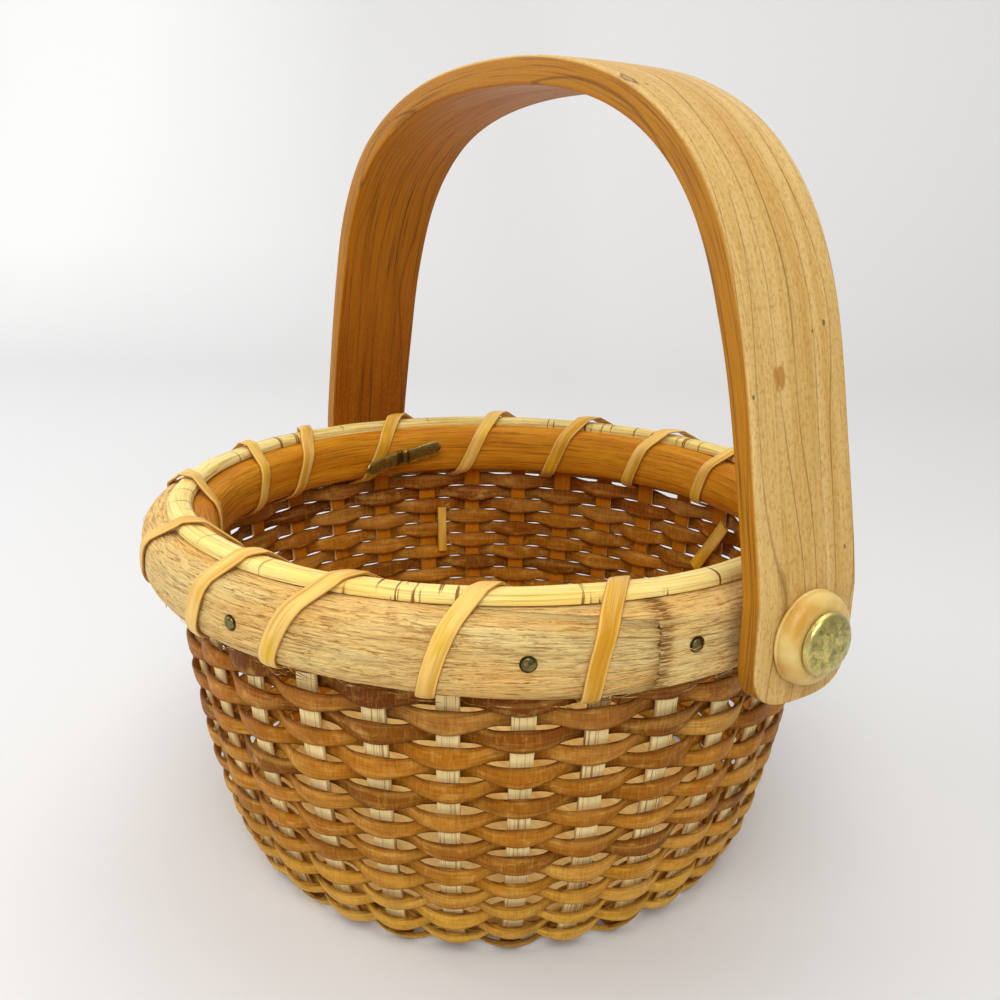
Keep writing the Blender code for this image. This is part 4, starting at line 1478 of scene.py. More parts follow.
            strand = sweep(centre, side, np.cross(side, ahead), sections)
            strand.along += number * 0.21
            # Strands under the edge are darkened, partly their own brown and partly painted shade under
            # the hoop.
            wear_and_shade = rng.uniform(1.0, 2.4) if kind is self.under_fibre else rng.uniform(0.0, 0.15)
            strand.values = {"wear_and_shade": np.full((1, 1), wear_and_shade)}
            strands.append(strand)
        return strands

    def outline(self, grow: float) -> Array:
        """Convex outline of rims and filler in radius and height, grown by a circle, counterclockwise.

        Args:
            grow: Radius of the circle.

        Returns:
            Rows of radius and height.
        """
        none, whole = np.zeros(1), np.ones(1)
        outer_out, outer_level = self.half_round(self.outer_thickness, self.outer_height, none,
                                                 whole)
        inner_out, inner_level = self.half_round(self.inner_thickness, self.inner_height, none,
                                                 whole)
        bottom = self.rim_bottom + self.inner_raise
        cloud = np.concatenate([
            np.stack([self.outer_back + outer_out[0], self.rim_bottom + outer_level[0]], axis=1),
            np.stack([self.inner_back - inner_out[0], bottom + inner_level[0]], axis=1),
            self.filler_section(),
        ])
        turn = np.arange(self.circle_steps) * TAU / self.circle_steps
        circle = np.stack([np.cos(turn), np.sin(turn)], axis=1)
        grown = (cloud[:, None] + grow * circle[None]).reshape(-1, 2)
        heading = np.linspace(0, TAU, self.outline_steps + 1)[:-1]
        aim = np.stack([np.cos(heading), np.sin(heading)], axis=1)
        best = np.argmax(aim @ grown.T, axis=1)
        keep = best[np.concatenate([[True], best[1:] != best[:-1]])]
        if keep[0] == keep[-1]:
            keep = keep[:-1]
        return grown[keep]

    def loop(self) -> tuple[Array, Array]:
        """Stations of one turn of the lashing, the first under the wall.

        Returns:
            Stations as radius, height and the two parts of the outward direction, and the share of the
            turn's length at each.
        """
        line = self.outline(self.lashing_clearance + self.lashing_thickness / 2)
        below = np.flatnonzero((line[:, 1] < self.rim_bottom) & (line[:, 0] > self.wall.top_radius))
        under = int(below[np.argmin(line[below, 0])])
        before = line[under - 1]
        share = (self.wall.top_radius - before[0]) / (line[under, 0] - before[0])
        start = before + share * (line[under] - before)
        line = np.vstack([start, np.roll(line, -under, axis=0), start])
        edges = np.diff(line, axis=0)
        lengths = np.hypot(*edges.T)
        heading = np.unwrap(np.arctan2(edges[:, 1], edges[:, 0]))
        bends = np.concatenate([[0.0], np.diff(heading), [0.0]]) / TAU
        shares = lengths / lengths.sum() + (bends[:-1] + bends[1:]) / 2
        weight = np.concatenate([[0.0], np.cumsum(shares)])
        stations = weight[-1] * np.arange(self.lashing_steps) / self.lashing_steps
        radius = np.interp(stations, weight, line[:, 0])
        height = np.interp(stations, weight, line[:, 1])
        ahead = np.stack([np.roll(radius, -1) - np.roll(radius, 1),
                          np.roll(height, -1) - np.roll(height, 1)])
        ahead /= np.hypot(*ahead)
        arc = run_length(radius, height)
        whole = arc[-1] + np.hypot(radius[0] - radius[-1], height[0] - height[-1])
        return np.stack([radius, height, ahead[1], -ahead[0]]), arc / whole

    def lashing(self) -> Surface:
        """The lashing: a flat strip round the outline, straight through the wall, leaning over the rim.

        In each turn it leans on from one pass to the next by share ** steep, eased by a cosine, and
        rests for a pause where it goes through the wall.

        Returns:
            The surface, with the attribute edge.
        """
        rng = np.random.default_rng(self.lashing_seed)
        (radius, height, out_r, out_z), arc = self.loop()
        turns = len(self.passes) - 1
        count = self.lashing_steps
        step = np.arange(turns * count + 1)
        place = step % count
        lean = np.clip((arc - self.lashing_pause) / (1 - 2 * self.lashing_pause), 0, 1)
        eased = (1 - np.cos(math.pi * lean)) / 2
        lean = (1 - self.lashing_ease) * lean + self.lashing_ease * eased
        steep = np.ones(turns + 1)
        steep[self.steep_from:self.steep_from + len(self.steep)] = self.steep
        wound = step // count + lean[place] ** steep[step // count]
        angle = self.spacing.angle(np.interp(wound, np.arange(turns + 1), self.passes))
        angle = angle + random_wave(len(step), (self.lashing_wander, count / 3), rng)
        above = height[place] - self.rim_bottom
        half = self.outer_height / 2
        low = 1 - np.clip(above / self.outer_height, 0, 1)
        high = np.clip((above - half) / half, 0, 1)
        centre = around(angle, radius[place],
                        height[place] + self.droop(angle) * low + self.lifted(angle) * high)
        out = around(angle, out_r[place], out_z[place])
        ahead = unit(np.gradient(centre, axis=0))
        side = unit(np.cross(out, ahead))
        section = rounded_section(1.0, self.lashing_thickness, *self.lashing_section)
        uneven = random_wave(len(step), (self.lashing_uneven, count / 2), rng)
        sections = widened(section, self.lashing_width * (1 + uneven))
        surface = sweep(centre, side, unit(np.cross(ahead, side)), sections)
        surface.values = {"edge": np.abs(section[:, 0])[None] * 2}
        return surface

    def build(self, shop: Workshop) -> None:
        """Make the hoops, the filler, the lashing and the fibres.

        Args:
            shop: Makes the pieces.
        """
        shop.piece("hoop_outer", [self.outer_hoop()], Slot.RIM, Body.BASKET, ["outer_rim"])
        shop.piece("hoop_inner", [self.inner_hoop()], Slot.INNER_RIM, Body.BASKET, ["inner_rim"])
        shop.piece("filler_strip", [self.filler()], Slot.FILLER, Body.BASKET, ["rim_filler"])
        shop.piece("lashing_strip", [self.lashing()], Slot.LASHING, Body.BASKET, ["rim_lashing"])
        shop.piece("loose_fibres", self.fibres(), Slot.RIM, Body.BASKET)


@dataclass(frozen=True)
class Tail:
    """One tucked end of cane.

    Angles, in degrees, and heights are those of its two ends. Depth is how far its outer face lies
    inside the wall's middle line.
    """

    label: str
    angles: tuple[float, float]
    heights: tuple[float, float]
    width: float
    depth: float


@dataclass
class Tails:
    """Loose ends of cane against the inside of the wall."""

    wall: Wall
    thickness: float = 0.0010
    rows: int = 14
    section: Section = (14, 4.0, 0.2)
    tails: tuple[Tail, ...] = (Tail("upright", (160.9, 160.9), (0.0607, 0.0462), 0.0028, 0.0029),
                               Tail("slanted", (80.9, 89.4), (0.0686, 0.0528), 0.0040, 0.0034))

    def strip(self, tail: Tail) -> Surface:
        """A flat strip down the wall.

        Args:
            tail: Which end of cane.

        Returns:
            The surface, with the attribute edge.
        """
        share = np.linspace(0, 1, self.rows)
        angle = np.radians(tail.angles[0] + (tail.angles[1] - tail.angles[0]) * share)
        arc = np.interp(share, [0, 1], [self.wall.arc_at(height) for height in tail.heights])
        radius, height, along_r, along_z = self.wall.at(arc)
        inward = tail.depth + self.thickness / 2
        centre = around(angle, radius - along_z * inward, height + along_r * inward)
        out = around(angle, along_z, -along_r)
        side = unit(np.cross(out, unit(np.gradient(centre, axis=0))))
        section = rounded_section(tail.width, self.thickness, *self.section)
        surface = sweep(centre, side, out, section)
        surface.values = {"edge": ZERO}
        return surface

    def build(self, shop: Workshop) -> None:
        """Make both tails.

        Args:
            shop: Makes the pieces.
        """
        for tail in self.tails:
            shop.piece("cane_tail_" + tail.label, [self.strip(tail)], Slot.LASHING, Body.BASKET,
                       ["tail_" + tail.label])


@dataclass
class Handle:
    """The bent strap and its two washers."""

    width: float = 0.0258
    thickness: float = 0.0047
    arch_thickness: float = 0.0058
    grown_from: float = 0.030
    grown_over: float = 0.030
    top: float = 0.1865
    outer_x: float = 0.0925
    straight: float = 0.0072
    corner: float = 0.0132
    lean: float = 0.01195
    lean_rise: float = 0.0372
    shoulder: float = 0.0900
    blend: float = 0.12
    ear_drop: float = 0.0130
    ear_roundness: float = 3.4
    ear_end: float = 0.995
    ear_rows: int = 22
    above_ear: float = 0.004
    bend_rows: int = 13
    arch_rows: int = 90
    fillet: float = 0.0007
    hollow: float = 0.00022
    side_wave: Wave = (0.00012, 16)
    seed: int = 31
    inner_pattern: float = 0.05
    pivot_height: float = 0.0800
    pivot_offset: float = 0.0080
    hole_radius: float = 0.0026
    washer_radius: float = 0.0092
    washer_thickness: float = 0.0036
    washer_edge: float = 0.0008
    washer_lip: float = 60.0
    washer_flat: float = 0.9
    washer_mouth: tuple[float, float] = (0.0006, 0.0004)
    washer_steps: int = 72
    head_radius: float = 0.0062
    seat: float = 0.0003
    hole_over: float = 0.002
    hole_steps: int = 40
    sharp: float = 50.0

    @staticmethod
    def bezier(knots: Array, shares: Array) -> Array:
        """Points of a Bezier curve: the sum of comb(n, k) s^k (1 - s)^(n - k) times each knot.

        Args:
            knots: Its knots, n + 1 rows.
            shares: Places s along it, 0 to 1.

        Returns:
            One point for each share.
        """
        order = len(knots) - 1
        weights = [math.comb(order, k) * shares ** k * (1 - shares) ** (order - k)
                   for k in range(order + 1)]
        return np.stack(weights, axis=1) @ knots

    def line(self) -> Array:
        """Outer face of the strap, ear to ear: superelliptic ears, a bend above each, and the arch.

        Returns:
            Rows of x, height above the pivot and half width.
        """
        rise = self.top - self.pivot_height
        half = self.width / 2
        share = np.sin(np.linspace(self.ear_end, 0.0, self.ear_rows) * math.pi / 2)
        ear = np.stack([np.full(share.shape, self.outer_x), -self.ear_drop * share,
                        half * (1 - share ** self.ear_roundness) ** (1 / self.ear_roundness)], axis=1)
        knots = np.array([(self.outer_x, self.corner),
                          (self.outer_x - self.lean, self.corner + self.lean_rise),
                          (self.shoulder, rise), (0.0, rise)])
        arch = self.bezier(knots, np.linspace(self.blend, 1, self.arch_rows))
        slope = (arch[1, 0] - arch[0, 0]) / (arch[1, 1] - arch[0, 1])
        corner = arch[0, 1] + (self.outer_x - arch[0, 0]) / slope
        bend = self.bezier(np.array([(self.outer_x, self.straight), (self.outer_x, corner), arch[0]]),
                           np.linspace(0, 1, self.bend_rows)[:-1])
        strap = np.vstack([bend, arch])
        strap = np.column_stack([strap, np.full(len(strap), half)])
        near = np.vstack([ear, [(self.outer_x, self.above_ear, half)], strap])
        return np.vstack([near, near[-2::-1] * np.array([-1.0, 1.0, 1.0])])

    @staticmethod
    def strap_corners() -> Array:
        """Section of the strap: two flat faces and two sides joined by quarter rounds.

        Returns:
            Rows of four shares: across = s0 * (half - r) + s1 * r and lift = s2 * (t / 2 - r) + s3 * r.
        """
        rows = []
        flats = (np.linspace(1, -1, 12)[1:-1], np.linspace(1, -1, 5)[1:-1])
        for quarter, (sx, sy) in enumerate(((1, 1), (-1, 1), (-1, -1), (1, -1))):
            turn = np.linspace(0, math.pi / 2, 5) + quarter * math.pi / 2
            rows += [(sx, math.cos(t), sy, math.sin(t)) for t in turn]
            if quarter % 2 == 0:
                rows += [(sx * place, 0.0, sy, float(sy)) for place in flats[0]]
            else:
                rows += [(sx, float(sx), sy * place, 0.0) for place in flats[1]]
        return np.array(rows, dtype=float)

    def strap(self) -> Surface:
        """The strap: a rounded flat section carried along its outer line, thicker over the arch.

        Returns:
            The surface, with the attribute depth from 0 on the outer face to 1 on the inner one.
        """
        line = self.line()
        rng = np.random.default_rng(self.seed)
        ahead = np.gradient(line[:, :2], axis=0)
        ahead /= np.hypot(*ahead.T)[:, None]
        base = self.strap_corners()
        half = line[:, 2]
        fillet = np.minimum(self.fillet, half / 3)[:, None]
        across = base[None, :, 0] * (half[:, None] - fillet) + base[None, :, 1] * fillet
        lift = base[None, :, 2] * (self.thickness / 2 - fillet) + base[None, :, 3] * fillet
        grown = np.clip((line[:, 1] - self.grown_from) / self.grown_over, 0, 1)[:, None]
        down = self.thickness / 2 - lift
        deep = down * (1 + (self.arch_thickness / self.thickness - 1) * grown)
        edge = np.minimum(1.0, half / (self.width / 2) * 2)[:, None]
        spread = np.clip(1 - (across / half[:, None]) ** 2, 0, 1)
        hollow = self.hollow * spread * edge * (lift > 0)
        wave = random_wave(len(line), self.side_wave, rng)[:, None] * np.sign(across)
        x = line[:, :1] - ahead[:, 1:] * (deep - hollow)
        z = line[:, 1:2] + ahead[:, :1] * (deep - hollow)
        y = self.pivot_offset + across + wave * edge
        points = np.stack([x, y, self.pivot_height + z], axis=-1)
        along = np.repeat(run_length(*line[:, :2].T)[:, None], len(base), axis=1)
        sheet = np.where(lift > -self.thickness / 2 + 1e-9,
                         across + np.where(across < 0, -1.0, 1.0) * down, self.inner_pattern + across)
        surface = Surface(points, along, sheet)
        surface.values = {"depth": down / self.thickness}
        return surface

    def washer(self, side: int) -> Surface:
        """A domed washer: its profile turned about the pivot line, with a hole through it.

        Args:
            side: 1 for the near side, -1 for the far one.

        Returns:
            The surface, a ring.
        """
        share = np.linspace(0, 1, 9)[1:]
        dome_r = self.washer_radius - (self.washer_radius - self.head_radius) * share ** 2
        rise = self.washer_thickness - self.washer_edge
        dome_x = self.washer_edge + rise * np.sin(share * math.pi / 2)
        lip_r, lip_x = rolled_edge(self.washer_radius, self.washer_edge, self.washer_lip)
        out, down = self.washer_mouth
        radius = np.concatenate([[self.hole_radius, self.washer_radius * self.washer_flat], lip_r,
                                 dome_r, [self.hole_radius + out, self.hole_radius]])
        lift = np.concatenate([[0.0, 0.0], lip_x, dome_x,
                               [self.washer_thickness, self.washer_thickness - down]])
        start = (side * (self.outer_x + self.seat), self.pivot_offset, self.pivot_height)
        surface = turned(start, (side, 0, 0), np.stack([radius, lift], axis=1), self.washer_steps)
        surface.ring = True
        return surface

    def build(self, shop: Workshop) -> None:
        """Make the strap, with its pivot holes, and the washers.

        Args:
            shop: Makes the pieces.
        """
        holes = []
        for side in (-1, 1):
            profile = np.array([(self.hole_radius, -self.hole_over),
                                (self.hole_radius, self.thickness + self.hole_over)])
            start = (side * (self.outer_x - self.thickness), self.pivot_offset, self.pivot_height)
            holes.append(shop.cutter(turned(start, (side, 0, 0), profile, self.hole_steps)))
        shop.piece("bent_handle", [self.strap()], Slot.HANDLE, Body.HANDLE, ["handle"], self.sharp,
                   holes)
        for label, side in SIDES:
            shop.piece("domed_washer_" + label, [self.washer(side)], Slot.BONE, Body.HANDLE,
                       ["washer_" + label])


@dataclass
class Fasteners:
    """The two split brads and the small nails of the rim."""

    pivot_height: float = 0.0800
    pivot_offset: float = 0.0080
    head_x: float = 0.0967
    head_radius: float = 0.0062
    head_rise: float = 0.0026
    head_edge: float = 0.0008
    head_lip: float = 40.0
    head_steps: int = 72
    shank_width: float = 0.0041
    leaf: float = 0.0010
    leg_radius: float = 0.0656
    leg_length: float = 0.0122
    bend_radius: float = 0.0011
    leg_widen: float = 1.08
    tip_rows: float = 5.0
    tip_taper: float = 0.96
    leaf_section: Section = (16, 4.5, 0.15)
    straight_rows: int = 10
    leg_shade: float = 0.35
    bend_shade_reach: float = 0.0006
    far_shade: float = 0.9
    near_shade: float = 0.5
    nail_head: float = 0.0016
    nail_rise: float = 0.0006
    nail_length: float = 0.0050
    nail_height: float = 0.07885
    nail_flange: float = 1.02
    nail_dome: float = 0.82
    nail_steps: int = 28
    pin_radius: float = 0.0005
    far_leg_tilt: float = math.radians(14.0)
    rim_radius: float = 0.0850
    lap_angle: float = math.radians(-13.0)
    lap_recovery: float = math.radians(30.0)
    lap_drop: float = 0.0014

    def head(self, side: int) -> Surface:
        """The brad's low domed head with a rounded edge.

        Args:
            side: 1 for the near side, -1 for the far one.

        Returns:
            The surface, its attribute edge bright near the rim of the head.
        """
        lip_r, lip_x = rolled_edge(self.head_radius, self.head_edge, self.head_lip)
        turn = np.linspace(0, 1, 12)[1:] * math.pi / 2
        dome_r = lip_r[-1] * np.cos(turn) + 0.00005
        dome_x = lip_x[-1] + (self.head_rise - lip_x[-1]) * np.sin(turn)
        profile = np.stack([np.concatenate([[self.pin_radius], lip_r, dome_r]),
                            np.concatenate([[0.0], lip_x, dome_x])], axis=1)
        surface = turned((side * self.head_x, self.pivot_offset, self.pivot_height), (side, 0, 0),
                         profile, self.head_steps)
        rim = np.exp(-((profile[:, 0] - self.head_radius * 0.97) / 0.00035) ** 2)
        surface.values = {"edge": rim[:, None] * 0.9, "shade": ZERO}
        return surface

    def leaf_line(self, side: int, way: int) -> Surface:
        """Half of the split shank and the leg that it bends into, as one bent leaf.

        The leaf runs in along X beside the pivot line, turns through a small bend and then follows an
        arc inside the rim.

        Args:
            side: 1 for the near side, -1 for the far one.
            way: 1 for the leg that goes towards plus Y, -1 for the other.

        Returns:
            The surface, with the attributes edge, along its sides, and shade, most in the bend.
        """
        bend_y = self.leaf / 2 + self.bend_radius
        inner_x = math.sqrt(self.leg_radius ** 2 - (self.pivot_offset + way * bend_y) ** 2)
        straight_x = np.linspace(self.head_x + self.head_edge / 2, inner_x + self.bend_radius,
                                 self.straight_rows)
        straight = np.stack([straight_x, np.full(self.straight_rows, self.leaf / 2)], axis=1)
        turn = np.linspace(0, math.pi / 2, 9)[1:]
        bend = np.stack([inner_x + self.bend_radius * (1 - np.sin(turn)),
                         bend_y - self.bend_radius * np.cos(turn)], axis=1)
        reach = np.linspace(0, self.leg_length - bend_y, 22)[1:]
        start = math.asin((self.pivot_offset + way * bend_y) / self.leg_radius)
        angle = start + way * reach / self.leg_radius
        leg = np.stack([self.leg_radius * np.cos(angle),
                        way * (self.leg_radius * np.sin(angle) - self.pivot_offset)], axis=1)
        line = np.vstack([straight, bend, leg])
        tilt = math.tan(self.far_leg_tilt) if side < 0 else 0.0
        reached = np.clip(line[:, 1] - bend_y / 2, 0, None)
        centre = np.stack([side * line[:, 0], self.pivot_offset + way * line[:, 1],
                           self.pivot_height + way * tilt * reached], axis=1)
        ahead = unit(np.gradient(centre, axis=0))
        up = np.broadcast_to(np.array([0.0, 0.0, 1.0]), centre.shape)
        width = np.full(len(line), self.shank_width)
        width[len(straight) + 4:] = self.shank_width * self.leg_widen
        tip = np.clip(1 - np.arange(len(line))[::-1] / self.tip_rows, 0, 1)
        width = width * np.sqrt(np.clip(1 - (self.tip_taper * tip) ** 2, 0.02, 1))
        section = rounded_section(1.0, self.leaf, *self.leaf_section)
        surface = sweep(centre, up, np.cross(up, ahead), widened(section, width))
        edge = np.clip((np.abs(section[:, 0]) * 2 - 0.85) / 0.15, 0, 1) * 0.5
        in_bend = np.exp(-((line[:, 1] - bend_y) / self.bend_shade_reach) ** 2)
        shade = self.leg_shade + (1 - self.leg_shade) * in_bend
        shade = shade[:, None] * (self.far_shade if side < 0 else self.near_shade)
        surface.values = {"edge": edge[None], "shade": shade}
        return surface

    def nail(self, degrees: float) -> Surface:
        """A nail: a low, rubbed head with a dark flange of painted shade on the rim's face, and a
        straight pin.

        Args:
            degrees: Where it stands round the basket.

        Returns:
            The surface, its attribute shade 1 on the flange.
        """
        angle = math.radians(degrees)
        past = ((angle - self.lap_angle) % TAU) / self.lap_recovery
        seat = self.rim_radius - self.lap_drop * max(0.0, 1 - past) + 0.00008
        turn = np.linspace(0, 1, 7) * math.pi / 2
        dome_r = self.nail_head * self.nail_dome * np.cos(turn * 0.96)
        dome_x = self.nail_rise * (0.35 + 0.65 * np.sin(turn))
        foot_r = [self.pin_radius, self.pin_radius, self.nail_head, self.nail_head * self.nail_flange,
                  dome_r[0]]
        foot_x = [-self.nail_length, -0.0002, -0.0002, 0.0, 0.00005]
        profile = np.stack([np.concatenate([foot_r, dome_r]), np.concatenate([foot_x, dome_x])], 1)
        out = np.array([math.cos(angle), math.sin(angle), 0.0])
        place = (seat * out[0], seat * out[1], self.nail_height)
        surface = turned(place, out, profile, self.nail_steps)
        # Painted shade, 1, on the flange where the head meets the rim; 0.75 on the dome for its dark
        # tarnish.
        shade = np.where(profile[:, 0] > dome_r[0] * 0.97, 1.0, 0.75)
        surface.values = {"edge": ZERO, "shade": shade[:, None]}
        return surface

    def build(self, shop: Workshop) -> None:
        """Make both brads and every nail.

        Args:
            shop: Makes the pieces.
        """
        for label, side in SIDES:
            leaves = [self.leaf_line(side, way) for way in (-1, 1)]
            shop.piece("split_brad_" + label, [self.head(side), *leaves], Slot.BRASS, Body.BASKET,
                       ["brad_" + label])
        for number, degrees in enumerate(NAIL_DEGREES, 1):
            shop.piece("small_nail_%d" % number, [self.nail(degrees)], Slot.BRASS, Body.BASKET,
                       ["rim_nail_%d" % number])


@dataclass
class Base:
    """The turned base with its groove."""

    radius: float = 0.0575
    thickness: float = 0.0060
    groove_low: float = 0.0014
    groove_high: float = 0.0036
    groove_radius: float = 0.0502
    edge: tuple[float, float, float] = (0.0012, 0.0004, 0.0003)
    edge_side: float = 0.0010
    rings: tuple[float, ...] = (0.0480, 0.0200)
    ring_step: float = 0.0005
    ring_depth: float = 0.0004
    centre: float = 0.0001
    steps: int = 128

    def build(self, shop: Workshop) -> None:
        """Turn the base: flat below, grooved at its edge, with two fine rings cut in its top.

        Args:
            shop: Makes the piece.
        """
        top = self.thickness
        far, near, rise = self.edge
        rings = [(radius - step * self.ring_step, top - (self.ring_depth if step in (1, 2) else 0.0))
                 for radius in self.rings for step in range(4)]
        profile = np.array([
            (self.centre, 0.0), (self.radius - far, 0.0), (self.radius - near, rise),
            (self.radius, self.edge_side), (self.radius, self.groove_low),
            (self.groove_radius, self.groove_low), (self.groove_radius, self.groove_high),
            (self.radius, self.groove_high), (self.radius, top - self.edge_side),
            (self.radius - near, top - rise), (self.radius - far, top), *rings, (self.centre, top)])
        disc = turned((0, 0, 0), (0, 0, 1), profile, self.steps)
        shop.piece("turned_base", [disc], Slot.BASE, Body.BASKET, ["base_disc"])


@dataclass(frozen=True)
class Lamp:
    """A square area lamp: its name, place, side in metres, power in watts and colour."""

    name: str
    place: tuple[float, float, float]
    size: float
    power: float
    color: Color = (1.0, 1.0, 1.0)


@dataclass(frozen=True)
class Studio:
    """Plain pale sweep, soft lamps and the camera at the photograph's angle."""

    camera_at: tuple[float, float, float] = (0.2043768, -0.1350746, 0.1548765)
    yaw: float = 2.554
    pitch: float = -0.2821
    roll: float = 0.0183
    lens: float = 36.295
    sensor: float = 36.0
    aim: tuple[float, float, float] = (0.0, 0.0, 0.07)
    lamps: tuple[Lamp, ...] = (Lamp("key", (0.64, -0.44, 0.85), 0.7, 7.4, (1.0, 0.985, 0.96)),
                               Lamp("fill", (-0.7, -0.75, 0.55), 0.9, 5.2, (1.0, 0.99, 0.98)),
                               Lamp("top", (-0.1, 0.25, 1.1), 0.9, 4.6))
    world_color: Color = (1.0, 0.975, 0.93)
    world_strength: float = 0.46
    front: float = 3.0
    back: float = 0.7
    curve: float = 0.8
    tall: float = 4.0
    half_width: float = 4.0
    below: float = 0.00005

    def camera(self) -> None:
        """Place the camera by its yaw, pitch and roll."""
        forward = np.array([math.cos(self.yaw) * math.cos(self.pitch),
                            math.sin(self.yaw) * math.cos(self.pitch), math.sin(self.pitch)])
        right = np.array([math.sin(self.yaw), -math.cos(self.yaw), 0.0])
        up = np.cross(right, forward)
        across = math.cos(self.roll) * right + math.sin(self.roll) * up
        above = -math.sin(self.roll) * right + math.cos(self.roll) * up
        data = bpy.data.cameras.new("camera")
        data.lens = self.lens
        data.sensor_width = self.sensor
        data.clip_start = 0.01
        item = put("camera", data)
        set_frame(item, np.stack([across, above, -forward], axis=1), self.camera_at)
        bpy.context.scene.camera = item

    def sweep_floor(self) -> None:
        """A floor that curves up into a backdrop behind the object, seen from the camera.

        It glows a little towards the back, but only as seen, so that the glow lights nothing. Its paper
        is painted darker towards the camera's right, as painted shade.
        """
        away = np.array([math.cos(self.yaw), math.sin(self.yaw), 0.0])
        beside = np.array([-away[1], away[0], 0.0])
        turn = np.linspace(0, math.pi / 2, 24)
        run = np.concatenate([[-self.front, self.back], self.back + self.curve * np.sin(turn[1:]),
                              [self.back + self.curve]])
        rise = np.concatenate([[0.0, 0.0], self.curve * (1 - np.cos(turn[1:])), [self.tall]])
        points = (run[:, None, None] * away + rise[:, None, None] * np.array([0, 0, 1.0])
                  + np.array([-self.half_width, self.half_width])[None, :, None] * beside)
        points[..., 2] -= self.below
        index = np.arange(points.shape[0] * 2).reshape(-1, 2)
        faces = np.stack([index[:-1, 0], index[1:, 0], index[1:, 1], index[:-1, 1]], axis=1)
        mesh = bpy.data.meshes.new("sweep")
        mesh.from_pydata(points.reshape(-1, 3), [], faces.tolist())
        mesh.shade_smooth()
        g = Graph("sweep_paper", 0.9)
        place = g.add("ShaderNodeTexCoord").outputs["Object"]
        left, far = (g.add("ShaderNodeVectorMath", {"operation": "DOT_PRODUCT"}, i0=place,
                           i1=tuple(axis)).outputs["Value"] for axis in (beside, away))
        path = g.add("ShaderNodeLightPath")
        mirrored = g.math("MAXIMUM", path.outputs["Is Glossy Ray"],
                          path.outputs["Is Transmission Ray"])
        seen = g.math("MAXIMUM", path.outputs["Is Camera Ray"], mirrored)
        middle = g.span(g.math("ABSOLUTE", g.math("SUBTRACT", left, 0.22)), 0.0, 0.35, 0.6, 1.0)
        glow = g.math("ADD", g.math("MULTIPLY", g.span(far, 0.3, 1.42, 0.035, 0.295), middle),
                      g.math("MULTIPLY", g.span(far, 0.75, 1.1, 0.0, 0.17), g.span(left, 0.0, 0.7)))
        shown = g.mix(g.math("MULTIPLY", glow, seen), (0.0, 0.0, 0.0), (1.0, 1.0, 1.0))
        g.feed(g.shader.inputs["Emission Color"], shown)
        g.shader.inputs["Emission Strength"].default_value = 1.0
        # Painted shade: the paper darkens towards the camera's right.
        painted_shade_paper = g.mix(g.span(left, 0.25, -0.05), (0.755, 0.76, 0.775), (0.68, 0.68, 0.685))
        mesh.materials.append(g.finish(painted_shade_paper))
        item = put("sweep", mesh)

    def light(self, lamp: Lamp) -> None:
        """Set up a lamp, turned towards the aim.

        Args:
            lamp: Its name, place and power.
        """
        data = bpy.data.lights.new(lamp.name, "AREA")
        data.size = lamp.size
        data.energy = lamp.power
        data.color = lamp.color
        back = unit(np.array(lamp.place) - np.array(self.aim))
        right = unit(np.cross([0.0, 0.0, 1.0], back))
        axes = np.stack([right, np.cross(back, right), back], axis=1)
        set_frame(put(lamp.name, data), axes, lamp.place)

    def world(self) -> None:
        """A plain pale world that fills the shadows."""
        world = bpy.data.worlds.new("world")
        bpy.context.scene.world = world
        world.use_nodes = True
        inputs = world.node_tree.nodes["Background"].inputs
        inputs["Color"].default_value = (*self.world_color, 1.0)
        inputs["Strength"].default_value = self.world_strength

    def build(self) -> None:
        """Set up floor, lamps, world, camera and view."""
        self.camera()
        self.sweep_floor()
        self.world()
        for lamp in self.lamps:
            self.light(lamp)
        bpy.context.scene.view_settings.view_transform = "Standard"


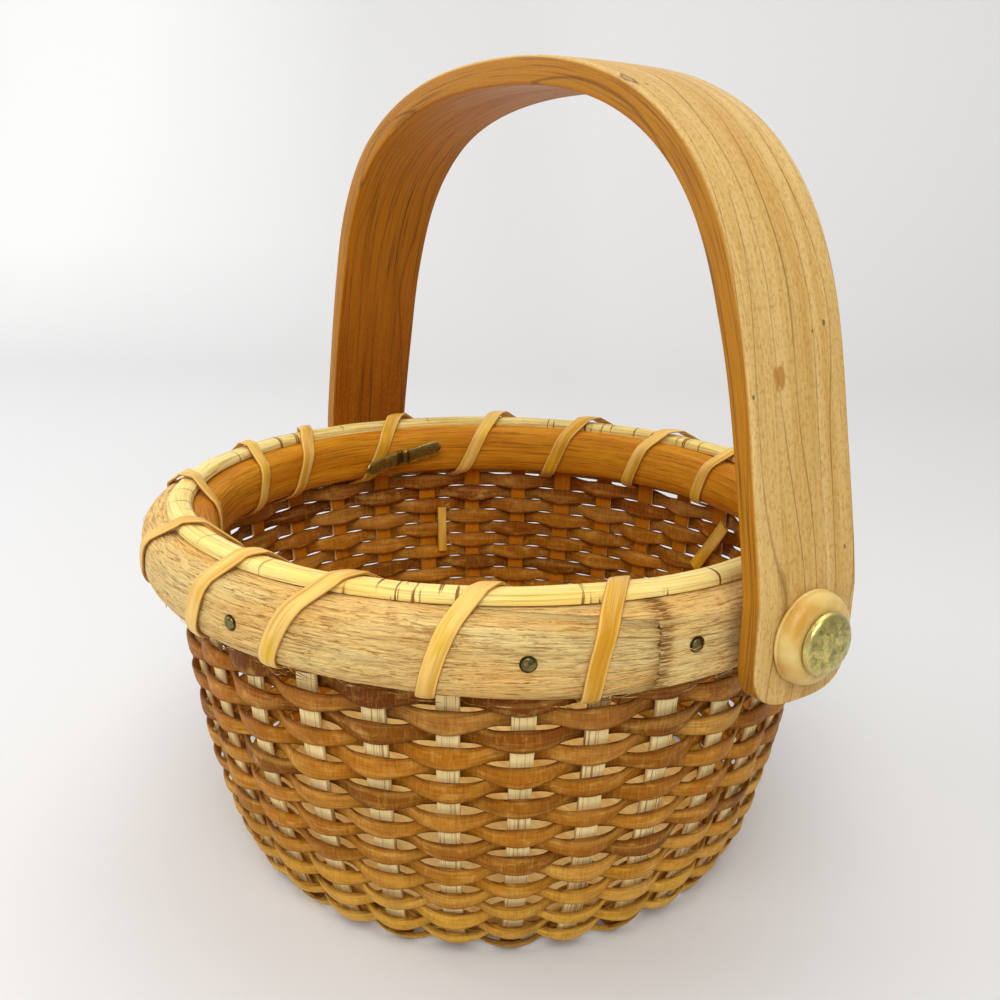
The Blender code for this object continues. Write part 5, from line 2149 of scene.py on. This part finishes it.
def finishes(shop: Workshop) -> None:
    """Make every finish once and give it to the workshop.

    Args:
        shop: Keeps them by slot.
    """
    shop.dress(Slot.BASE, BaseFinish().material())
    shop.dress(Slot.STAKE, StakeFinish().material())
    shop.dress(Slot.WEAVER, WeaverFinish().material())
    rim = FibreWoodFinish("rim_wood", linear(255, 224, 150), linear(255, 202, 116),
                          linear(156, 92, 22), 0.00050, 0.013, 0.75, 0.0008, 0.62)
    inner_rim = FibreWoodFinish("inner_rim_wood", linear(222, 152, 34), linear(192, 116, 10),
                                linear(120, 58, 2), 0.0005, 0.045, 0.55, 0.00018, 0.45)
    filler = FibreWoodFinish("filler_cane", linear(255, 238, 160), linear(248, 214, 116),
                             linear(140, 84, 20), 0.0006, 0.05, 0.34, 0.00018, 0.42, 0.95)
    shop.dress(Slot.RIM, rim.material())
    shop.dress(Slot.INNER_RIM, inner_rim.material())
    shop.dress(Slot.FILLER, filler.material())
    shop.dress(Slot.LASHING, LashingFinish().material())
    brown, grey = linear(170, 112, 34), linear(92, 70, 40)
    shop.dress(Slot.HANDLE, HandleFinish(marks=(
        Mark(0.0610, -0.0052, 0.0025, 0.0016, brown, 0.75), Mark(0.0699, 0.0077, 0.0007, 0.0005, grey),
        Mark(0.0685, 0.0043, 0.0004, 0.0003, grey), Mark(0.0580, -0.0120, 0.0004, 0.0003, grey),
        Mark(0.0284, 0.0095, 0.0005, 0.0004, grey), Mark(0.1246, -0.0090, 0.0006, 0.0004, grey),
        Mark(0.1272, -0.0116, 0.0026, 0.0016, grey, 0.85),
        Mark(0.1272, -0.0116, 0.0017, 0.0010, linear(176, 140, 84), 0.9))).material())
    shop.dress(Slot.BONE, BoneFinish().material())
    shop.dress(Slot.BRASS, BrassFinish().material())


def main() -> None:
    """Build the finishes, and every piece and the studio."""
    logging.basicConfig(level=logging.INFO, format="%(name)s: %(message)s")
    shop = Workshop()
    finishes(shop)
    wall = Wall()
    spacing = Spacing()
    Base().build(shop)
    Weave(wall, spacing).build(shop)
    Rims(wall, spacing).build(shop)
    Tails(wall).build(shop)
    Handle().build(shop)
    Fasteners().build(shop)
    Studio().build()


if __name__ == "__main__":
    main()
